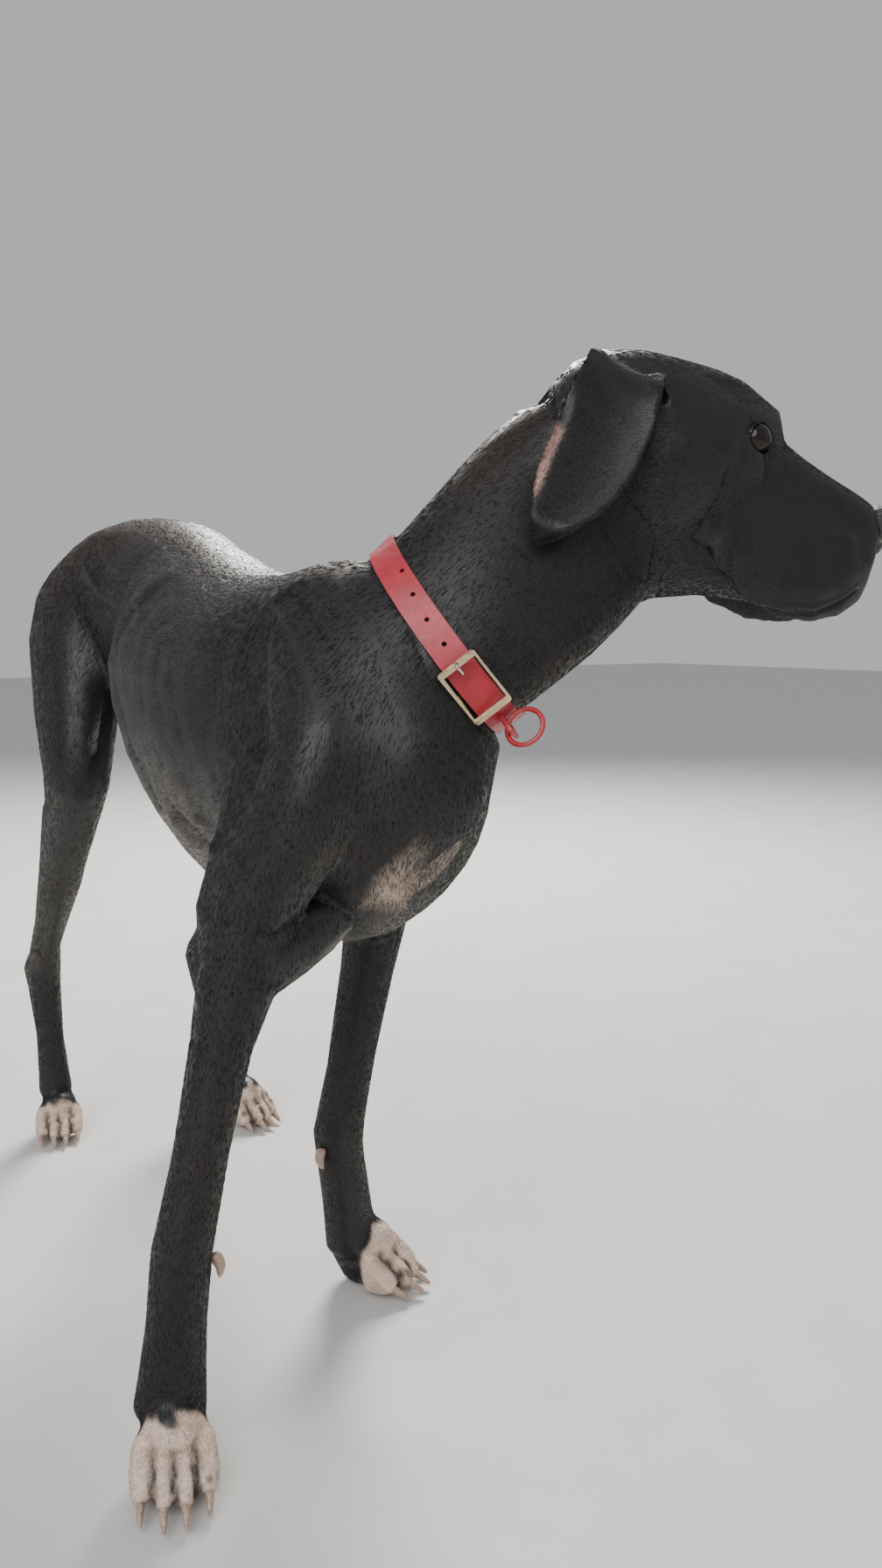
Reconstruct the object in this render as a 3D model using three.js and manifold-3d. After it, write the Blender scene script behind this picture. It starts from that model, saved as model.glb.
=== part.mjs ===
// A life-size great dane in millimetres: +X is the way its trunk faces, +Y its left, +Z up, on the floor at z = 0.
// It stands with the right foreleg forward, the left foreleg set back, and the head turned to its left.

import * as THREE from 'three';
import { mergeVertices } from 'three/addons/utils/BufferGeometryUtils.js';
import Module from 'manifold-3d';

const wasm = await Module();
wasm.setup();

// Driving sizes
const GAP = 0.3;
const CROUP_HEIGHT = 812;
const BACK_HEIGHT = 734;
const WITHERS_HEIGHT = 744;
const BRISKET_HEIGHT = 388;
const FLANK_HEIGHT = 550;
const CHEST_HALF_WIDTH = 126;
const LOIN_HALF_WIDTH = 86;
const HEAD_TURN = 64;
const HEAD_DIP = 23;
const OCCIPUT = [626, 181, 905];
const EYE_RADIUS = 14;
const TAIL_ROOT = 27;
const TAIL_TIP = 7;
const COLLAR_WIDTH = 25;
const COLLAR_THICKNESS = 3;
const COLLAR_SEAT = 0.385;
const COLLAR_LEAN = 9;
const COLLAR_TILT = -10;
const RING_DIAMETER = 36;
const RING_BAR = 5;
const SIDES = { left: 1, right: -1 };

// Joints of each leg, and the place and turn of each paw on the floor
const FORELEGS = {
  right: {
    blade: [505, -50, 682], point: [648, -76, 570], elbow: [574, -118, 446], carpus: [588, -186, 182],
    breast: [592, -44, 446], paw: [606, -204], foot: [590, -207], turn: -20,
  },
  left: {
    blade: [495, 50, 682], point: [630, 68, 556], elbow: [435, 93, 440], carpus: [442, 33, 168],
    breast: [500, 48, 426], paw: [447, 66], foot: [437, 59], turn: 36,
  },
};
const HINDLEGS = {
  right: {
    hip: [14, -88, 700], stifle: [94, -118, 505], hock: [-112, -120, 218],
    paw: [-91, -113], foot: [-103, -110], turn: -15,
  },
  left: {
    hip: [30, 88, 700], stifle: [130, 112, 500], hock: [-36, 78, 222],
    paw: [8, 116], foot: [-4, 113], turn: 12,
  },
};

const radians = (degrees) => (degrees * Math.PI) / 180;
const mix = (from, to, share) => from.map((value, i) => value + (to[i] - value) * share);

// A local frame, forward, left and up, turned about the upright axis and then dipped
function placeAt([x, y, z], turn = 0, dip = 0) {
  const spin = new THREE.Quaternion().setFromEuler(new THREE.Euler(0, radians(dip), radians(turn), 'ZYX'));
  return new THREE.Matrix4().compose(new THREE.Vector3(x, y, z), spin, new THREE.Vector3(1, 1, 1));
}

// Closed meshes and solids
function signedVolume(position, index) {
  const [a, b, c] = [new THREE.Vector3(), new THREE.Vector3(), new THREE.Vector3()];
  let volume = 0;
  for (let i = 0; i < index.count; i += 3) {
    a.fromBufferAttribute(position, index.getX(i));
    b.fromBufferAttribute(position, index.getX(i + 1));
    c.fromBufferAttribute(position, index.getX(i + 2));
    volume += a.dot(b.cross(c)) / 6;
  }
  return volume;
}

function solidOf(geometry) {
  geometry.deleteAttribute('normal');
  geometry.deleteAttribute('uv');
  const merged = mergeVertices(geometry, 1e-3);
  const triangles = new Uint32Array(merged.index.array);
  if (signedVolume(merged.attributes.position, merged.index) < 0) {
    for (let i = 0; i < triangles.length; i += 3) {
      [triangles[i], triangles[i + 1]] = [triangles[i + 1], triangles[i]];
    }
  }
  const vertProperties = new Float32Array(merged.attributes.position.array);
  return new wasm.Manifold(new wasm.Mesh({ numProp: 3, vertProperties, triVerts: triangles }));
}

function geometryOf(solid) {
  const mesh = solid.getMesh();
  const geometry = new THREE.BufferGeometry();
  geometry.setAttribute('position', new THREE.BufferAttribute(new Float32Array(mesh.vertProperties), 3));
  geometry.setIndex(new THREE.BufferAttribute(new Uint32Array(mesh.triVerts), 1));
  return geometry;
}

const join = (...solids) => solids.reduce((whole, piece) => whole.add(piece));
const cut = (solid, ...tools) => tools.reduce((left, tool) => left.subtract(tool), solid);
const largest = (solid) => solid.decompose().sort((a, b) => b.volume() - a.volume())[0];

// A rounded body along a bent line. Each section has its centre, its half width to the side, and its half
// depths above and below the line. Crown and keel are 2 for an ellipse, less for a ridge, more for a box.
function curvesThrough(sections) {
  const triple = (pick) => new THREE.CatmullRomCurve3(sections.map((s) => new THREE.Vector3(...pick(s))));
  return {
    line: triple((s) => s.at),
    size: triple((s) => [s.wide, s.up, s.down]),
    round: triple((s) => [s.crown ?? 2, s.keel ?? 2, s.curl ?? 0]),
    side: triple((s) => s.side ?? [0, 1, 0]),
  };
}

function ringFrame(curves, t) {
  const ahead = curves.line.getTangent(t);
  const side = curves.side.getPoint(t);
  side.addScaledVector(ahead, -side.dot(ahead)).normalize();
  return { centre: curves.line.getPoint(t), ahead, side, up: new THREE.Vector3().crossVectors(ahead, side) };
}

function ringPoint(curves, t, angle, { grow = 0, shrink = 1, shift = 0 } = {}) {
  const { centre, ahead, side, up } = ringFrame(curves, t);
  const size = curves.size.getPoint(t);
  const round = curves.round.getPoint(t);
  const [c, s] = [Math.cos(angle), Math.sin(angle)];
  const power = 2 / (s > 0 ? round.x : round.y);
  const across = Math.sign(c) * Math.abs(c) ** power;
  const rise = Math.sign(s) * Math.abs(s) ** power;
  const depth = (s > 0 ? size.y : size.z) + grow;
  const bow = round.z * across * across;
  return centre
    .addScaledVector(ahead, shift)
    .addScaledVector(side, (size.x + grow) * across * shrink)
    .addScaledVector(up, (depth * rise + bow) * shrink);
}

function sweep(sections, { around = 18, rings = 10, domes = [20, 20], domeRows = 2, grow = 0, place } = {}) {
  const curves = curvesThrough(sections);
  const rows = [];
  for (let i = 0; i < domeRows; i += 1) {
    const swing = (i / domeRows) * (Math.PI / 2);
    rows.push({ t: 0, shrink: Math.sin(swing), shift: -(domes[0] + grow) * Math.cos(swing) });
  }
  for (let i = 0; i <= rings; i += 1) {
    rows.push({ t: i / rings, shrink: 1, shift: 0 });
  }
  for (let i = domeRows - 1; i >= 0; i -= 1) {
    const swing = (i / domeRows) * (Math.PI / 2);
    rows.push({ t: 1, shrink: Math.sin(swing), shift: (domes[1] + grow) * Math.cos(swing) });
  }
  const geometry = new THREE.SphereGeometry(1, around, rows.length - 1);
  const position = geometry.attributes.position;
  rows.forEach((row, r) => {
    for (let col = 0; col <= around; col += 1) {
      const angle = ((col % around) / around) * Math.PI * 2;
      const point = ringPoint(curves, row.t, angle, { grow, shrink: row.shrink, shift: row.shift });
      position.setXYZ(r * (around + 1) + col, point.x, point.y, point.z);
    }
  });
  if (place) {
    geometry.applyMatrix4(place);
  }
  return solidOf(geometry);
}

// An egg-shaped swelling, long along its own forward axis
function lump(at, [long, wide, high], { turn = 0, dip = 0, grow = 0, around = 14, place } = {}) {
  const geometry = new THREE.SphereGeometry(1, around, Math.round(around * 0.7));
  geometry.scale(long + grow, wide + grow, high + grow);
  geometry.applyMatrix4(placeAt(at, turn, dip));
  if (place) {
    geometry.applyMatrix4(place);
  }
  return solidOf(geometry);
}

// A muscle that lies from one place to another and reaches a little past both
function muscle(from, to, [wide, deep], past, grow = 0) {
  const ahead = new THREE.Vector3(...to).sub(new THREE.Vector3(...from));
  const long = ahead.length() / 2 + past;
  ahead.normalize();
  const side = new THREE.Vector3(0, 1, 0);
  side.addScaledVector(ahead, -side.dot(ahead)).normalize();
  const up = new THREE.Vector3().crossVectors(ahead, side);
  const geometry = new THREE.SphereGeometry(1, 10, 8);
  geometry.rotateZ(Math.PI / 2);
  geometry.scale(long + grow, wide + grow, deep + grow);
  geometry.applyMatrix4(new THREE.Matrix4().makeBasis(ahead, side, up).setPosition(...mix(from, to, 0.5)));
  return solidOf(geometry);
}

function block([fromX, toX], [fromY, toY], [fromZ, toZ], { grow = 0, place } = {}) {
  const geometry = new THREE.BoxGeometry(toX - fromX + 2 * grow, toY - fromY + 2 * grow, toZ - fromZ + 2 * grow);
  geometry.translate((fromX + toX) / 2, (fromY + toY) / 2, (fromZ + toZ) / 2);
  if (place) {
    geometry.applyMatrix4(place);
  }
  return solidOf(geometry);
}

// Trunk: stations from the buttocks to the breastbone give the topline, the level of the greatest width,
// the underline and the half width
const TRUNK = [
  { x: -84, top: 748, level: 700, low: 642, half: 52, crown: 2 },
  { x: -52, top: 786, level: 704, low: 602, half: 90, crown: 2.1 },
  { x: 5, top: CROUP_HEIGHT - 5, level: 708, low: 585, half: 116, crown: 2.35 },
  { x: 80, top: CROUP_HEIGHT, level: 704, low: 572, half: 108, crown: 2.2 },
  { x: 155, top: CROUP_HEIGHT - 18, level: 680, low: FLANK_HEIGHT, half: LOIN_HALF_WIDTH + 10, crown: 1.95 },
  { x: 235, top: BACK_HEIGHT + 32, level: 644, low: 488, half: CHEST_HALF_WIDTH - 3, crown: 1.9 },
  { x: 325, top: BACK_HEIGHT + 6, level: 606, low: 432, half: CHEST_HALF_WIDTH + 5, crown: 1.85 },
  { x: 415, top: BACK_HEIGHT, level: 585, low: 396, half: CHEST_HALF_WIDTH + 1, crown: 1.85 },
  { x: 500, top: WITHERS_HEIGHT, level: 570, low: BRISKET_HEIGHT, half: CHEST_HALF_WIDTH - 12, crown: 1.8 },
  { x: 575, top: WITHERS_HEIGHT - 12, level: 562, low: BRISKET_HEIGHT + 12, half: CHEST_HALF_WIDTH - 28, crown: 1.8 },
  { x: 636, top: WITHERS_HEIGHT - 60, level: 556, low: BRISKET_HEIGHT + 48, half: CHEST_HALF_WIDTH - 46, crown: 1.9 },
  { x: 674, top: WITHERS_HEIGHT - 114, level: 552, low: BRISKET_HEIGHT + 82, half: CHEST_HALF_WIDTH - 66, crown: 2 },
  { x: 696, top: WITHERS_HEIGHT - 152, level: 548, low: BRISKET_HEIGHT + 118, half: CHEST_HALF_WIDTH - 90, crown: 2 },
];

function trunk(grow = 0) {
  const sections = TRUNK.map(({ x, top, level, low, half, crown }) => ({
    at: [x, 0, level], wide: half, up: top - level, down: level - low, crown, keel: 2,
  }));
  return sweep(sections, { around: 24, rings: 18, domes: [22, 8], grow });
}

// Neck: from between the shoulders up to the back of the skull, bending to the left
const NECK = [
  { at: [566, -6, 604], wide: 76, up: 116, down: 104, side: [0, 1, 0] },
  { at: [596, 14, 642], wide: 66, up: 102, down: 98, side: [-0.1, 1, 0] },
  { at: [620, 50, 680], wide: 60, up: 92, down: 98, side: [-0.4, 0.92, 0] },
  { at: [629, 99, 725], wide: 57, up: 90, down: 103, side: [-0.7, 0.7, 0] },
  { at: [627, 150, 770], wide: 55, up: 92, down: 108, side: [-0.86, 0.5, 0] },
  { at: [633, 190, 808], wide: 52, up: 88, down: 102, side: [-0.9, 0.43, 0] },
];
const neckCurves = curvesThrough(NECK);

function neck(grow = 0) {
  return sweep(NECK, { around: 22, rings: 10, domes: [24, 30], grow });
}

// Tail: hangs from the croup past the right hock
const TAIL = [
  [-62, 0, 756],
  [-102, -12, 706],
  [-130, -34, 632],
  [-148, -60, 540],
  [-162, -80, 440],
  [-176, -92, 350],
  [-196, -96, 288],
];

function tail(grow = 0) {
  const sections = TAIL.map((at, i) => {
    const radius = TAIL_ROOT + (TAIL_TIP - TAIL_ROOT) * (i / (TAIL.length - 1)) ** 0.8;
    return { at, wide: radius, up: radius * 1.05, down: radius * 1.05 };
  });
  return sweep(sections, { around: 12, rings: 13, domes: [12, 10], grow });
}

// Forelegs: blade and upper arm make one form bent at the point of the shoulder, with the triceps behind
// it, the breast muscle inside it and the forearm below
function shoulder({ blade, point, elbow, carpus, breast }, grow = 0) {
  const arm = [
    { at: mix(blade, point, -0.12), wide: 20, up: 34, down: 40 },
    { at: mix(blade, point, 0.34), wide: 31, up: 50, down: 58 },
    { at: mix(blade, point, 0.84), wide: 38, up: 46, down: 66 },
    { at: mix(point, elbow, 0.42), wide: 40, up: 42, down: 58 },
    { at: mix(point, elbow, 0.98), wide: 36, up: 38, down: 42 },
  ];
  const backOfArm = mix(blade, elbow, 0.45);
  return join(
    sweep(arm, { around: 14, rings: 8, domes: [18, 24], grow }),
    muscle(backOfArm, mix(elbow, carpus, -0.04), [30, 52], 30, grow),
    muscle(breast, mix(elbow, carpus, 0.2), [32, 30], 24, grow),
  );
}

const FOREARM = [
  { share: -0.04, wide: 36, up: 42, down: 44 },
  { share: 0.14, wide: 33, up: 38, down: 38 },
  { share: 0.36, wide: 28, up: 31, down: 30 },
  { share: 0.66, wide: 24.5, up: 26, down: 26 },
  { share: 0.86, wide: 25, up: 25, down: 26 },
  { share: 1, wide: 27, up: 26, down: 28 },
];
const FORE_PASTERN = [
  { share: 0.26, wide: 26, up: 24, down: 27 },
  { share: 0.5, wide: 28, up: 23, down: 28 },
  { share: 0.72, wide: 31, up: 24, down: 30 },
];

function limb({ foot, turn }, upperSizes, lowerSizes, { start, middle, around }) {
  const sections = [
    ...upperSizes.map(({ share, ...size }) => ({ at: mix(start, middle, share), ...size })),
    ...lowerSizes.map(({ share, ...size }) => ({ at: mix(middle, [...foot, 0], share), ...size })),
  ];
  const heading = [-Math.sin(radians(turn)), Math.cos(radians(turn)), 0];
  sections.forEach((section, i) => {
    section.side = mix([0, 1, 0], heading, i / (sections.length - 1));
  });
  return sweep(sections, { around, rings: 13, domes: [34, 14] });
}

const foreleg = (leg) => limb(leg, FOREARM, FORE_PASTERN, { start: leg.elbow, middle: leg.carpus, around: 14 });

// Hindlegs: the thigh lies on the rump, and the lower leg runs by the hock to the rear pastern
function thigh({ hip, stifle }, way, grow = 0) {
  const sections = [
    { at: [hip[0], hip[1] - way * 12, hip[2] + 40], wide: 40, up: 62, down: 76 },
    { at: [hip[0] + 2, hip[1] + way * 4, hip[2] - 16], wide: 52, up: 74, down: 100 },
    { at: mix(hip, stifle, 0.48), wide: 50, up: 76, down: 102 },
    { at: mix(hip, stifle, 0.78), wide: 43, up: 60, down: 92 },
    { at: mix(hip, stifle, 1.06), wide: 36, up: 43, down: 68 },
  ];
  return sweep(sections, { around: 16, rings: 7, domes: [30, 30], grow });
}

const GASKIN = [
  { share: 0.02, wide: 36, up: 42, down: 64 },
  { share: 0.25, wide: 32, up: 33, down: 61 },
  { share: 0.52, wide: 26, up: 26, down: 47 },
  { share: 0.78, wide: 20, up: 21, down: 34 },
  { share: 0.93, wide: 21, up: 24, down: 41 },
];
const HIND_PASTERN = [
  { share: 0.04, wide: 23, up: 25, down: 34 },
  { share: 0.2, wide: 21, up: 22, down: 31 },
  { share: 0.4, wide: 19, up: 19, down: 27 },
  { share: 0.6, wide: 21, up: 20, down: 27 },
  { share: 0.74, wide: 23, up: 21, down: 28 },
];

const hindleg = (leg) => limb(leg, GASKIN, HIND_PASTERN, { start: leg.stifle, middle: leg.hock, around: 12 });

// Paws, in a frame that looks along the paw: the pastern's foot, a heel pad and four arched toes
const TOES = [
  { side: -1.5, reach: -10 },
  { side: -0.52, reach: 0 },
  { side: 0.52, reach: 0 },
  { side: 1.5, reach: -10 },
];
const TOE_PITCH = 14;

const toeLine = ({ side }) => side * TOE_PITCH * (1 + 0.1 * Math.abs(side));

function toe(form, scale, place) {
  const y = toeLine(form);
  const { reach } = form;
  const sections = [
    { at: [-12, y * 0.7, 34], wide: 10, up: 11, down: 13 },
    { at: [14 + reach * 0.6, y * 0.95, 36], wide: 10, up: 10, down: 18 },
    { at: [32 + reach, y, 26], wide: 10.5, up: 10, down: 28, keel: 2.6 },
    { at: [43 + reach, y * 1.03, 14], wide: 8.5, up: 8.5, down: 15, keel: 2.6 },
  ];
  sections.forEach((section) => {
    section.at = section.at.map((value) => value * scale);
    section.wide *= scale;
    section.up *= scale;
    section.down *= scale;
  });
  return sweep(sections, { around: 6, rings: 3, domes: [8, 8], domeRows: 1, place });
}

function claw(form, scale, place, grow = 0) {
  const y = toeLine(form) * 1.03;
  const root = 42 + form.reach;
  const sections = [
    { at: [root, y, 15.5], wide: 3.1, up: 3.7, down: 3.7 },
    { at: [root + 12, y, 12], wide: 2.7, up: 3.2, down: 3.2 },
    { at: [root + 19, y, 6], wide: 1.4, up: 1.7, down: 1.7 },
  ];
  sections.forEach((section) => {
    section.at = section.at.map((value) => value * scale);
  });
  return sweep(sections, { around: 6, rings: 1, domes: [2, 2], domeRows: 1, grow, place });
}

// A short claw on the inner side of each wrist
function dewclaw({ carpus: [x, y, z] }, way, grow = 0) {
  const sections = [
    { at: [x + 8, y - way * 24, z - 6], wide: 4, up: 4.5, down: 4.5 },
    { at: [x + 12, y - way * 27.5, z - 16], wide: 3.2, up: 3.6, down: 3.6 },
    { at: [x + 15, y - way * 26.5, z - 23], wide: 1.6, up: 1.8, down: 1.8 },
  ];
  return sweep(sections, { around: 6, rings: 2, domes: [2, 2], domeRows: 1, grow });
}

function paw({ paw: [x, y], turn }, scale) {
  const place = placeAt([x, y, 0], turn);
  const sized = (sizes) => sizes.map((value) => value * scale);
  return join(
    lump(sized([-8, 0, 38]), sized([30, 26, 36]), { dip: 60, around: 10, place }),
    lump(sized([-9, 0, 16]), sized([25, 21, 18.5]), { around: 8, place }),
    ...TOES.map((form) => toe(form, scale, place)),
  );
}

// Head, in its own frame from the top of the nape: forward to the nose, left, and up from the skull
const headPlace = placeAt(OCCIPUT, HEAD_TURN, HEAD_DIP);
const SKULL = [
  { at: [4, 0, -54], wide: 50, up: 54, down: 60 },
  { at: [36, 0, -46], wide: 62, up: 75, down: 82 },
  { at: [76, 0, -42], wide: 69, up: 82, down: 88 },
  { at: [114, 0, -42], wide: 70, up: 89, down: 86 },
  { at: [146, 0, -44], wide: 62, up: 90, down: 76 },
  { at: [170, 0, -50], wide: 48, up: 80, down: 62 },
];
const MUZZLE = [
  { at: [150, 0, -50], wide: 50, up: 70, down: 44, crown: 2.3 },
  { at: [186, 0, -50], wide: 43, up: 68, down: 42, crown: 2.4 },
  { at: [214, 0, -48], wide: 41, up: 56, down: 42, crown: 2.7 },
  { at: [252, 0, -48], wide: 39, up: 51, down: 42, crown: 2.8 },
  { at: [288, 0, -48], wide: 36, up: 48, down: 38, crown: 2.8 },
  { at: [306, 0, -46], wide: 29, up: 43, down: 30, crown: 2.5 },
];
const JAW = [
  { at: [96, 0, -90], wide: 46, up: 34, down: 100 },
  { at: [130, 0, -92], wide: 45, up: 34, down: 84 },
  { at: [164, 0, -96], wide: 41, up: 34, down: 54 },
  { at: [222, 0, -102], wide: 28, up: 20, down: 24 },
  { at: [286, 0, -92], wide: 21, up: 16, down: 16 },
];

function flew(way) {
  const upright = [0, 0, 1];
  const sections = [
    { at: [158, way * 45, -78], wide: 26, up: 5, down: 5, side: upright },
    { at: [188, way * 43, -86], wide: 38, up: 8, down: 8, side: upright },
    { at: [216, way * 41, -93], wide: 45, up: 10, down: 10, side: upright },
    { at: [250, way * 37, -86], wide: 46, up: 11, down: 11, side: upright },
    { at: [282, way * 29, -74], wide: 42, up: 12, down: 12, side: upright },
    { at: [305, way * 15, -60], wide: 32, up: 11, down: 11, side: upright },
  ];
  return sweep(sections, { around: 10, rings: 6, domes: [12, 9], place: headPlace });
}

const EYE = [158, 41, -4];

function eyeball(way, grow = 0) {
  const radius = [EYE_RADIUS, EYE_RADIUS, EYE_RADIUS];
  return lump([EYE[0], way * EYE[1], EYE[2]], radius, { grow, around: 12, place: headPlace });
}

function lids(way) {
  const geometry = new THREE.TorusGeometry(EYE_RADIUS * 0.86, 3.6, 5, 12);
  geometry.scale(1.12, 0.78, 1);
  geometry.rotateX(Math.PI / 2);
  geometry.applyMatrix4(placeAt([EYE[0] + 4, way * (EYE[1] + 5), EYE[2]], way * -28, 18));
  geometry.applyMatrix4(headPlace);
  return solidOf(geometry);
}

function noseLeather(grow = 0) {
  return join(
    lump([306, 0, -15], [19, 25, 19], { grow, around: 10, place: headPlace }),
    lump([315, 0, -26], [8, 9, 16], { grow, around: 8, place: headPlace }),
  );
}

function nostril(way) {
  return join(
    lump([321, way * 10, -16], [9, 5, 6], { turn: way * 24, place: headPlace, around: 6 }),
    lump([312, way * 19, -21], [9, 6, 3], { turn: way * 60, place: headPlace, around: 6 }),
  );
}

function head() {
  return join(
    sweep(SKULL, { around: 18, rings: 7, domes: [18, 22], place: headPlace }),
    sweep(MUZZLE, { around: 16, rings: 7, domes: [20, 8], place: headPlace }),
    sweep(JAW, { around: 10, rings: 5, domes: [20, 10], place: headPlace }),
    flew(1),
    flew(-1),
    lids(1),
    lids(-1),
  );
}

function earFlap(way, grow = 0) {
  const sections = [
    { at: [33, way * 50, -6], wide: 37, up: 6, down: 6, curl: 0 },
    { at: [32, way * 68, -12], wide: 43, up: 4, down: 4, curl: 9 },
    { at: [27, way * 80, -34], wide: 44, up: 2.6, down: 2.6, curl: 9 },
    { at: [24, way * 89, -66], wide: 44, up: 2.2, down: 2.2, curl: 8 },
    { at: [20, way * 94, -98], wide: 41, up: 2.2, down: 2.2, curl: 7 },
    { at: [16, way * 97, -128], wide: 33, up: 2.2, down: 2.2, curl: 5 },
    { at: [14, way * 97, -153], wide: 20, up: 2.2, down: 2.2, curl: 3 },
    { at: [15, way * 96, -171], wide: 7, up: 2, down: 2, curl: 1 },
  ];
  sections.forEach((section) => {
    section.side = [1, 0, 0];
    section.curl *= way;
  });
  return sweep(sections, { around: 12, rings: 11, domes: [8, 6], grow, place: headPlace });
}

// Collar: a strap round the low neck, its buckle and prong, the ring at the throat and the keeper over it
const collarFrame = ringFrame(neckCurves, COLLAR_SEAT);
const collarAhead = collarFrame.ahead
  .clone()
  .applyAxisAngle(collarFrame.side, radians(COLLAR_LEAN))
  .applyAxisAngle(collarFrame.up, radians(COLLAR_TILT));
const collarUp = new THREE.Vector3().crossVectors(collarAhead, collarFrame.side).normalize();
const collarSide = new THREE.Vector3().crossVectors(collarUp, collarAhead);
const collarPlace = new THREE.Matrix4()
  .makeBasis(collarSide, collarUp.clone().negate(), collarAhead)
  .setPosition(collarFrame.centre);

function collarStrap() {
  const half = COLLAR_WIDTH / 2;
  const band = block([-200, 200], [-200, 200], [-half, half], { place: collarPlace });
  return cut(neck(GAP + COLLAR_THICKNESS).intersect(band), neck(GAP));
}

// The middle of the strap's outer face at an angle round the neck
function strapPoint(angle) {
  let [low, high] = [0, 1];
  const face = (t) => ringPoint(neckCurves, t, angle, { grow: GAP + COLLAR_THICKNESS });
  for (let step = 0; step < 30; step += 1) {
    const middle = (low + high) / 2;
    const past = face(middle).sub(collarFrame.centre).dot(collarAhead) > 0;
    [low, high] = past ? [low, middle] : [middle, high];
  }
  return face(low);
}

// A frame on the strap's face: x runs round the neck, y along the neck towards the head, z outwards
function onStrap(angle, lift) {
  const at = strapPoint(angle);
  const round = strapPoint(angle + 0.02).sub(strapPoint(angle - 0.02)).normalize();
  const out = new THREE.Vector3().crossVectors(round, collarAhead).normalize();
  const matrix = new THREE.Matrix4().makeBasis(round, collarAhead, out);
  return matrix.setPosition(at.addScaledVector(out, lift));
}

function roundedRectangle(width, height, corner, shape) {
  const [w, h] = [width / 2, height / 2];
  shape.moveTo(-w + corner, -h);
  shape.lineTo(w - corner, -h);
  shape.absarc(w - corner, -h + corner, corner, -Math.PI / 2, 0);
  shape.lineTo(w, h - corner);
  shape.absarc(w - corner, h - corner, corner, 0, Math.PI / 2);
  shape.lineTo(-w + corner, h);
  shape.absarc(-w + corner, h - corner, corner, Math.PI / 2, Math.PI);
  shape.lineTo(-w, -h + corner);
  shape.absarc(-w + corner, -h + corner, corner, Math.PI, Math.PI * 1.5);
  return shape;
}

const BUCKLE = { long: 51, high: 35, bar: 4.5, thick: 3, seat: 3.8, angle: radians(229) };
const RING_ANGLE = radians(262);
const RING_HANG = [1, 0, 0.15];
const KEEPER = { half: 7.5, leg: 4.2, rise: 15.2, thick: 2.2, deep: 4, sunk: 1 };

function buckle() {
  const frame = roundedRectangle(BUCKLE.long, BUCKLE.high, 3, new THREE.Shape());
  const inside = [BUCKLE.long - 2 * BUCKLE.bar - 2, BUCKLE.high - 2 * BUCKLE.bar];
  frame.holes.push(roundedRectangle(...inside, 1.5, new THREE.Path()));
  const geometry = new THREE.ExtrudeGeometry(frame, { depth: BUCKLE.thick, bevelEnabled: false, curveSegments: 3 });
  geometry.applyMatrix4(onStrap(BUCKLE.angle, BUCKLE.seat));
  return solidOf(geometry);
}

function prong() {
  const geometry = new THREE.CapsuleGeometry(1.6, 34, 3, 8);
  geometry.rotateZ(Math.PI / 2);
  geometry.applyMatrix4(new THREE.Matrix4().makeTranslation(-2, 0, BUCKLE.thick + 2));
  geometry.applyMatrix4(onStrap(BUCKLE.angle, BUCKLE.seat));
  return solidOf(geometry);
}

// The ring stands across the strap in its keeper and hangs forward and down
function leadRing() {
  const seat = onStrap(RING_ANGLE, RING_BAR / 2 + 3.4);
  const round = new THREE.Vector3().setFromMatrixColumn(seat, 0);
  const hang = new THREE.Vector3(...RING_HANG).projectOnPlane(round).normalize();
  const across = new THREE.Vector3().crossVectors(round, hang);
  const radius = (RING_DIAMETER - RING_BAR) / 2;
  const centre = new THREE.Vector3().setFromMatrixPosition(seat).addScaledVector(hang, radius);
  const geometry = new THREE.TorusGeometry(radius, RING_BAR / 2, 6, 18);
  geometry.applyMatrix4(new THREE.Matrix4().makeBasis(hang, across, round).setPosition(centre));
  return solidOf(geometry);
}

function keeper() {
  const { half, leg, rise, thick, deep } = KEEPER;
  const outline = new THREE.Shape();
  outline.moveTo(-half, 0);
  outline.lineTo(-half, rise + thick);
  outline.lineTo(half, rise + thick);
  outline.lineTo(half, 0);
  outline.lineTo(leg, 0);
  outline.lineTo(leg, rise);
  outline.lineTo(-leg, rise);
  outline.lineTo(-leg, 0);
  const geometry = new THREE.ExtrudeGeometry(outline, { depth: deep, bevelEnabled: false });
  geometry.translate(0, 0, -deep / 2);
  geometry.rotateX(Math.PI / 2);
  geometry.applyMatrix4(onStrap(RING_ANGLE, -KEEPER.sunk));
  return solidOf(geometry);
}

// Materials
const coat = new THREE.MeshStandardMaterial({ color: '#15110f', roughness: 0.45 });
const sock = new THREE.MeshStandardMaterial({ color: '#cfc4b6', roughness: 0.7 });
const leather = new THREE.MeshStandardMaterial({ color: '#0d0b0b', roughness: 0.35 });
const wetEye = new THREE.MeshStandardMaterial({ color: '#2a160c', roughness: 0.08 });
const nail = new THREE.MeshStandardMaterial({ color: '#b9a592', roughness: 0.4 });
const redStrap = new THREE.MeshStandardMaterial({ color: '#c3161f', roughness: 0.45 });
const brass = new THREE.MeshStandardMaterial({ color: '#c79a4b', roughness: 0.25, metalness: 1 });

// Assembly: the flesh is made whole, and parted into its nodes by thin cuts
const model = new THREE.Group();

function add(name, solid, material) {
  const mesh = new THREE.Mesh(geometryOf(solid), material);
  mesh.name = name;
  model.add(mesh);
}

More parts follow.
